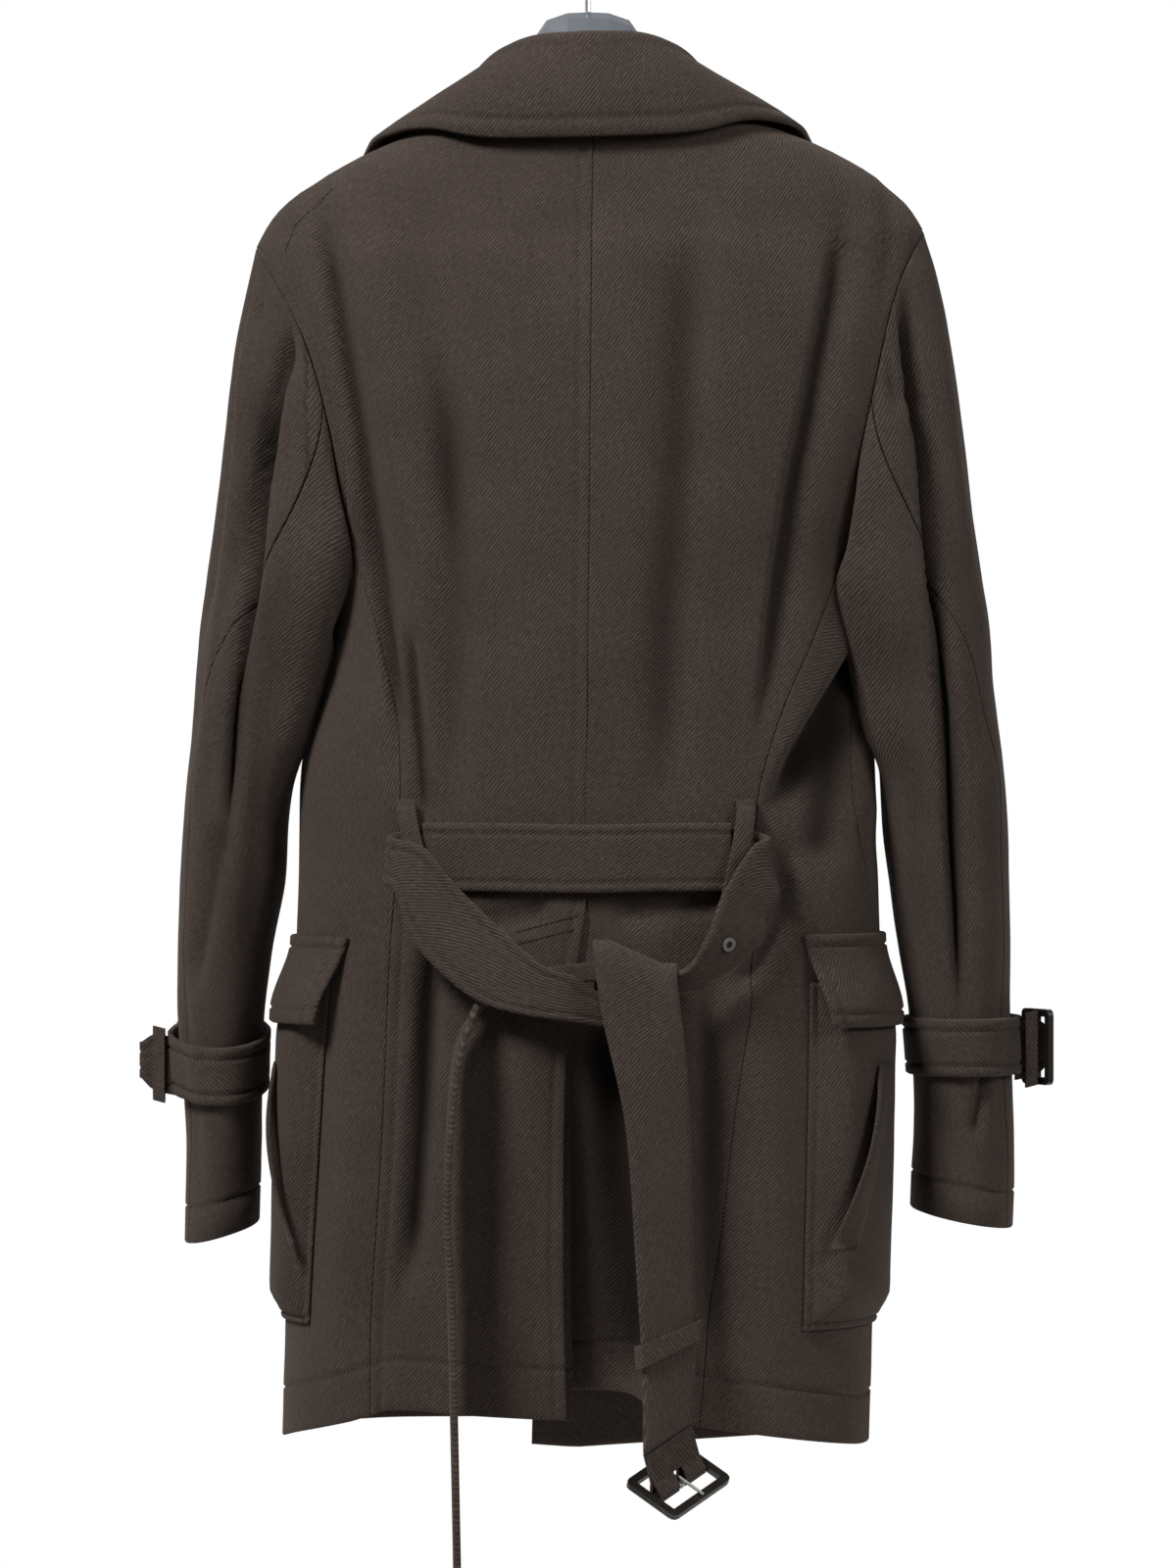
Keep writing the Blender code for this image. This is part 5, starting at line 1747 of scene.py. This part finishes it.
@dataclass(frozen=True)
class Stitches:
    """Lines of sewing that cross a panel: each row runs between places sideways and in height."""

    rows: tuple[tuple[tuple[float, float], ...], ...]
    length: float = 3.2
    gap: float = 0.7
    width: float = 0.8
    high: float = 0.5

    def build(self, name: str) -> bpy.types.Object:
        """Lays the stitches on the body's cloth.

        Args:
            name: the piece's name.

        Returns:
            The piece, dressed.
        """
        bm = bmesh.new()
        for row in self.rows:
            for (x_0, h_0), (x_1, h_1) in zip(row, row[1:]):
                count = max(1, round(math.hypot(x_1 - x_0, h_1 - h_0) / (self.length + self.gap)))
                for step in range(count):
                    part = (step + 0.5) / count
                    self._stitch(bm, mix(x_0, x_1, part), mix(h_0, h_1, part), (x_1 - x_0, h_1 - h_0))
        return dress(finish_mesh(name, bm), THREAD, ROOT)

    def _stitch(self, bm: bmesh.types.BMesh, x: float, height: float, way: tuple[float, float]) -> None:
        """Adds one stitch, lying along the row on the cloth.

        Args:
            bm: the mesh it goes into.
            x: its sideways place.
            height: its height.
            way: the row's run, sideways and in height.
        """
        turn = BODY.turn_at(x, height)
        base = BODY.point(turn, height)
        out = (BODY.point(turn, height, 1.0) - base).normalized()
        along = Vector((way[0], 0, way[1])).normalized()
        along = (along - out * along.dot(out)).normalized()
        axes = Matrix((along, out.cross(along), out)).transposed().to_4x4()
        seat = settled(base + out * (body_push(base) + 0.1) * MM)
        size = Matrix.Diagonal((self.length * MM, self.width * MM, self.high * MM, 1.0))
        bmesh.ops.create_cube(bm, size=1.0, matrix=Matrix.Translation(seat) @ axes @ size)


@dataclass(frozen=True)
class Collar:
    """The folded collar, topstitched along its edge."""

    columns: int = 150
    edge_row: float = 11.0

    def point(self, across: Stop, along: Stop) -> Vector:
        """A point of the collar's middle layer.

        Args:
            across: the share of the way round the neck.
            along: the share of the way from the neckline to the edge, with shifts of millimetres.

        Returns:
            The point in metres.
        """
        turn = mix(-COLLAR.end, COLLAR.end, across.part) + across.shift * 0.8
        place = min(max(along.part + along.shift / 105.0, 0.0), 1.0)
        return COLLAR.surface(turn, place)

    def push(self, point: Vector, _: Stop) -> float:
        """A slight waviness of the collar."""
        return ruffle(point, 55, 0.7) + ruffle(point, 22, 0.3)

    def build(self) -> bpy.types.Object:
        """Builds the collar.

        Returns:
            The piece, dressed.
        """
        shell = ClothShell("cloth_collar", self.point, stops(self.columns), stops(34, (), (self.edge_row,)))
        half = COLLAR.thick / 2
        piece = shell.build(half, -half, self.push, Vector((0, -1, 0)))
        dress(piece, BODY_TWILL, ROOT, "collar")
        declare_sheet(piece)
        return piece


@dataclass(frozen=True)
class Pocket:
    """A bellows pocket with its flap and the slanted lip of its hand opening; turns are without sign."""

    side: Side
    rear: float
    front: float
    top: float
    bottom: float
    flap_rear: float
    flap_front: float
    flap_top: float
    flap_bottom: float
    lip_top_turn: float
    lip_top: float
    lip_bottom_turn: float
    lip_bottom: float
    bellows: float = 12.0
    bellows_side: float = 8.5
    mouth_ease: float = 0.55
    slope: float = 0.16
    side_turn: float = 84.0
    flap_taper: float = 5.0
    flap_thick: float = 3.6
    tilt: float = 0.0
    lip_stand: float = 11.0
    lip_lean: float = 9.0
    lip_thick: float = 3.0

    def stand(self, turn: float) -> float:
        """How far the bellows stand off at a turn."""
        return mix(self.bellows, self.bellows_side, smooth(turn, self.rear + 12, self.side_turn))

    def rise(self, across: float, along: float) -> float:
        """How far the pocket's outer face stands off the coat.

        Args:
            across: the share of its width.
            along: the share of its height.

        Returns:
            Millimetres.
        """
        near = min(across, 1 - across) / self.slope
        low = along / (self.slope * 0.6)
        swell = self.stand(mix(self.rear, self.front, across)) * smooth(min(near, low), 0, 1)
        return LAID_ON + CLOTH + swell * (1 - self.mouth_ease * smooth(along, 0.82, 1))

    def _place(self, turn: float, height: float, out: float) -> Vector:
        """A point over the body, moved with the creases under it."""
        base = BODY.point(self.side.value * turn, height)
        return BODY.point(self.side.value * turn, height, out + max(body_push(base), -1.0))

    def bag_point(self, across: Stop, along: Stop) -> Vector:
        """A point of the pocket's outer face."""
        place = across.part + across.shift / 140.0
        level = along.part + along.shift / (self.top - self.bottom)
        turn, height = mix(self.rear, self.front, place), mix(self.bottom, self.top, level)
        turn += self.tilt * (1 - level) * (1 - place)
        return self._place(turn, height, self.rise(min(max(place, 0.0), 1.0), level))

    def flap_point(self, across: Stop, along: Stop) -> Vector:
        """A point of the flap's inner face."""
        level = along.part + along.shift / (self.flap_top - self.flap_bottom)
        taper = self.flap_taper * level
        place = across.part + across.shift / 150.0
        turn = mix(self.flap_rear + taper, self.flap_front - taper * 0.5, place)
        rise = LAID_ON + (self.stand(turn) + CLOTH + 1.2) * smooth(level, 0.06, 0.9)
        return self._place(turn, mix(self.flap_top, self.flap_bottom, level), rise)

    def lip_point(self, across: Stop, along: Stop) -> Vector:
        """A point of the lip's middle layer."""
        turn = mix(self.lip_bottom_turn, self.lip_top_turn, along.part)
        height = mix(self.lip_bottom, self.lip_top, along.part)
        place = (turn - self.rear) / (self.front - self.rear)
        base = self.rise(place, (height - self.bottom) / (self.top - self.bottom)) + LAID_ON + 0.4
        stand = self.lip_stand * math.sin(math.pi * min(max(along.part, 0.06), 0.94)) ** 0.7
        return self._place(turn - across.part * self.lip_lean, height, base + across.part * stand)

    def build(self) -> list[bpy.types.Object]:
        """Builds the pocket's three pieces.

        Returns:
            The pieces, dressed.
        """
        word, out = self.side.word, Vector((self.side.value, 0, 0))
        bag = ClothShell(f"cloth_pocket_{word}", self.bag_point, stops(28, (4.0,), (4.0,)), stops(40, (4.0,)))
        bag_piece = dress(bag.build(0.0, -CLOTH, None, out), BODY_TWILL, ROOT, f"pocket_{word}")
        rows = stops(8, (8.0,), (9.0,))
        flap = ClothShell(f"cloth_flap_{word}", self.flap_point, stops(28, (8.0,), (8.0,)), rows)
        flap_piece = dress(flap.build(self.flap_thick, 0.0, None, out), BODY_TWILL, ROOT, f"flap_{word}")
        columns = [Stop(step / 5) for step in range(6)]
        lip = ClothShell(f"cloth_welt_{word}", self.lip_point, columns, stops(24))
        half = self.lip_thick / 2
        lip_piece = dress(lip.build(half, -half), BODY_TWILL, ROOT, f"welt_{word}")
        declare_sheet(bag_piece)
        declare_sheet(flap_piece)
        declare_sheet(lip_piece)
        return [bag_piece, flap_piece, lip_piece]


@dataclass(frozen=True)
class Belt:
    """The belt tied at the back, with its loops, its keeper and the end folded round the buckle's bar."""

    edge_row: float = 6.5
    thick: float = 4.4
    loop_width: float = 12.0
    loop_thick: float = 2.6
    loop_stand: float = 9.2
    wrapped: str = "belt_tail_buckle"
    slant: float = 14.0
    slant_span: tuple[float, float] = (240.0, 310.0)
    full_width: float = 30.0
    loop_span: tuple[float, float] = (422.0, 346.0)
    loops: tuple[tuple[Side, float, float], ...] = ((Side.LEFT, -116.0, -97.0), (Side.RIGHT, 101.0, 88.0))

    def stretch(self, name: str, columns: int, pitch: float = 4.5) -> bpy.types.Object:
        """One stretch of the belt.

        Args:
            name: the stretch's name.
            columns: even steps between its edges.
            pitch: the length of its steps along the run.

        Returns:
            The piece.
        """
        form = BELT_STRIPS[name]
        marks = [form.surface(0.5, step / 60) for step in range(61)]
        length = sum((b - a).length for a, b in zip(marks, marks[1:])) / MM

        def width_at(place: float) -> float:
            """The stretch's width at a place along its run."""
            return (form.surface(1.0, place) - form.surface(0.0, place)).length / MM

        tall = [width_at(step / 12) for step in range(13)]
        narrow = min(tall)

        def surface(across: Stop, along: Stop) -> Vector:
            """A point of the stretch's middle layer, its sewn rows drawn in where it is pulled narrow."""
            place = along.part + along.shift / length
            wide = width_at(place)
            shift = across.shift / max(wide, narrow) * min(1.0, wide / self.full_width)
            point = form.surface(across.part + shift, place)
            if name != self.wrapped:
                return point
            slant = self.slant * smooth(height_of(point), *self.slant_span) * (across.part - 0.2)
            return point - Vector((0, 0, slant * MM))

        row = (min(self.edge_row, 0.24 * sorted(tall)[6]),)
        across = stops(columns, row, row, 1.3)
        shell = ClothShell(f"cloth_{name}", surface, across, stops(max(4, round(length / pitch))))
        out = form.normal(0.5, 0.5)
        piece = shell.build(self.thick / 2, -self.thick / 2, None, out)
        dress(piece, BELT_TWILL, ROOT, name)
        declare_sheet(piece)
        return piece

    def loop(self, side: Side, top: float, bottom: float) -> bpy.types.Object:
        """A belt loop at a princess seam.

        Args:
            side: which one.
            top: its sideways place at the top.
            bottom: its sideways place at the bottom.

        Returns:
            The piece.
        """

        def surface(across: Stop, along: Stop) -> Vector:
            """A point of the loop's inner face."""
            height = mix(*self.loop_span, along.part) - along.shift
            x = mix(top, bottom, along.part) + self.loop_width * (across.part - 0.5) + across.shift
            rise = min(max(along.part * 1.05, 0.0), 1.0)
            stand = LAID_ON + self.loop_stand * math.sin(math.pi * rise) ** 0.5
            return BODY.point(BODY.turn_at(x, height), height, stand)

        name = f"belt_loop_{side.word}"
        shell = ClothShell(f"cloth_{name}", surface, stops(3), stops(22))
        piece = shell.build(self.loop_thick, 0.0, None, Vector((0, -1, 0)))
        dress(piece, BODY_TWILL, ROOT, name)
        declare_sheet(piece)
        return piece

    def build(self) -> list[bpy.types.Object]:
        """Builds the belt's cloth.

        Returns:
            The pieces, dressed.
        """
        made = [self.stretch(name, 5) for name in BELT_STRIPS]
        return made + [self.loop(*row) for row in self.loops]


class Edge(Enum):
    """How round a hard piece's edges are, in millimetres."""

    SHARP = 0.0
    SOFT = 0.8
    ROUND = 1.3


class Hardware:
    """The hard pieces, which keep their solids under a finish and a rounded edge."""

    rows: tuple[tuple[str, Finish, Edge], ...] = (
        ("belt_buckle_frame", LEATHER, Edge.ROUND),
        ("cuff_buckle_left", LEATHER, Edge.ROUND),
        ("cuff_buckle_right", LEATHER, Edge.ROUND),
        ("belt_buckle_prong", NICKEL, Edge.SHARP),
        ("belt_eyelet", NICKEL, Edge.SHARP),
        ("button_1", HORN, Edge.SOFT),
        ("button_2", HORN, Edge.SOFT),
        ("button_3", HORN, Edge.SOFT),
        ("button_4", HORN, Edge.SOFT),
        ("hanger", MOULDED, Edge.SHARP),
        ("hanger_hook", WIRE, Edge.SHARP),
    )

    def dress(self) -> None:
        """Gives each solid its finish, its rounded edges and its material's slot."""
        for name, finish, edge in self.rows:
            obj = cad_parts[name]
            obj.data.materials.clear()
            obj.data.materials.append(finish.material())
            if edge.value:
                bevel = obj.modifiers.new("rounded_edge", "BEVEL")
                bevel.width = edge.value * MM
                bevel.segments = 3
                bevel.limit_method = "ANGLE"
                bevel.angle_limit = math.radians(40)
            obj.data.shade_smooth()
            obj.data.set_sharp_from_angle(angle=math.radians(42))


class SmallCloth:
    """The narrow loops of cloth and the belt's end, which keep their solids under the cloth's finish."""

    nodes: tuple[str, ...] = ("cuff_keeper_left", "cuff_keeper_right", "belt_keeper", "belt_end_fold")

    def dress(self) -> None:
        """Gives each solid the cloth's finish, soft edges and its material's slot."""
        for name in self.nodes:
            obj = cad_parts[name]
            obj.data.materials.clear()
            obj.data.materials.append(FOLD_TWILL.material())
            bevel = obj.modifiers.new("soft_edge", "BEVEL")
            bevel.width = 0.7 * MM
            bevel.segments = 2
            bevel.limit_method = "ANGLE"
            bevel.angle_limit = math.radians(50)
            obj.data.shade_smooth()
            obj.data.set_sharp_from_angle(angle=math.radians(50))


@dataclass(frozen=True)
class Studio:
    """Pale floor, soft light and the camera at the photo's angle."""

    floor_radius: float = 0.9
    floor_height: float = -1.46
    distance: float = 3.6
    eye_height: float = -0.57
    frame_high: float = 1.032
    backdrop: str = "#ffffff"
    room: float = 0.09
    key: float = 138.0
    fill: float = 36.0

    def floor(self) -> None:
        """Lays a round pale floor under the coat."""
        bm = bmesh.new()
        bmesh.ops.create_circle(bm, cap_ends=True, segments=96, radius=self.floor_radius)
        bmesh.ops.translate(bm, verts=bm.verts[:], vec=(0, 0, self.floor_height))
        floor = finish_mesh("floor", bm)
        floor.data.materials.append(Finish("pale_floor", "", "#ececea", 0.9).material())

    def light(self) -> None:
        """Sets the white backdrop, the dimmer room in front of it and two soft lamps."""
        world = bpy.data.worlds.new("white_backdrop")
        world.use_nodes = True
        tree = world.node_tree
        shade = tree.nodes["Background"]
        shade.inputs["Color"].default_value = linear(self.backdrop)
        way = node(tree, "ShaderNodeTexCoord", {}, {}).outputs["Generated"]
        behind = node(tree, "ShaderNodeSeparateXYZ", {}, {"Vector": way}).outputs["Y"]
        bright = {"Value": behind, "From Min": 0.2, "From Max": 0.75, "To Min": self.room, "To Max": 1.0}
        strength = node(tree, "ShaderNodeMapRange", {"interpolation_type": "SMOOTHSTEP"}, bright)
        tree.links.new(strength.outputs["Result"], shade.inputs["Strength"])
        bpy.context.scene.world = world
        bpy.context.scene.view_settings.view_transform = "Standard"
        self._lamp("key_lamp", (-1.7, -2.0, 1.9), 1.0, self.key)
        self._lamp("fill_lamp", (2.3, -1.7, 0.8), 1.0, self.fill)

    def _lamp(self, name: str, place: tuple[float, float, float], size: float, power: float) -> None:
        """Adds a square lamp turned to the coat.

        Args:
            name: the lamp's name.
            place: where it stands, in metres.
            size: the length of its side.
            power: its watts.
        """
        data = bpy.data.lights.new(name, "AREA")
        data.size = size
        data.energy = power
        lamp = bpy.data.objects.new(name, data)
        lamp.location = place
        aim = Vector((0, 0, -0.55)) - Vector(place)
        lamp.rotation_euler = aim.to_track_quat("-Z", "Y").to_euler()
        bpy.context.scene.collection.objects.link(lamp)

    def camera(self) -> None:
        """Stands the camera level behind the coat's back, framed as in the photo."""
        data = bpy.data.cameras.new("camera")
        data.sensor_fit = "AUTO"
        data.sensor_width = 36.0
        data.lens = 36.0 * self.distance / self.frame_high
        data.clip_start, data.clip_end = 0.05, 50.0
        camera = bpy.data.objects.new("camera", data)
        camera.location = (0.0, -self.distance, self.eye_height)
        camera.rotation_euler = (math.pi / 2, 0.0, 0.0)
        bpy.context.scene.collection.objects.link(camera)
        bpy.context.scene.camera = camera

    def build(self) -> None:
        """Sets floor, light and camera."""
        self.floor()
        self.light()
        self.camera()


def main() -> None:
    """Builds the coat's looks in order and notes its size."""
    logging.basicConfig(level=logging.INFO, format="%(message)s")
    for side in Side:
        BodyPanels(side).build()
    Sleeve(Side.LEFT, 250.0, 92.0, 440.0, 7.8, 9.0).build()
    Sleeve(Side.RIGHT, 260.0, 84.0, 432.0, 6.8).build()
    Collar().build()
    Pocket(Side.LEFT, 59, 116, 304, 82, 53, 119, 333, 276, 80, 250, 66, 134, tilt=5, lip_lean=3).build()
    Pocket(Side.RIGHT, 48, 108, 304, 80, 46, 112, 335, 275, 76, 250, 60, 134).build()
    Stitches(VENT_ROWS).build("vent_stitches")
    Stitches(SHOULDER_ROWS, gap=0.2, width=0.6).build("shoulder_stitches")
    Belt().build()
    Hardware().dress()
    SmallCloth().dress()
    Studio().build()


if __name__ == "__main__":
    main()
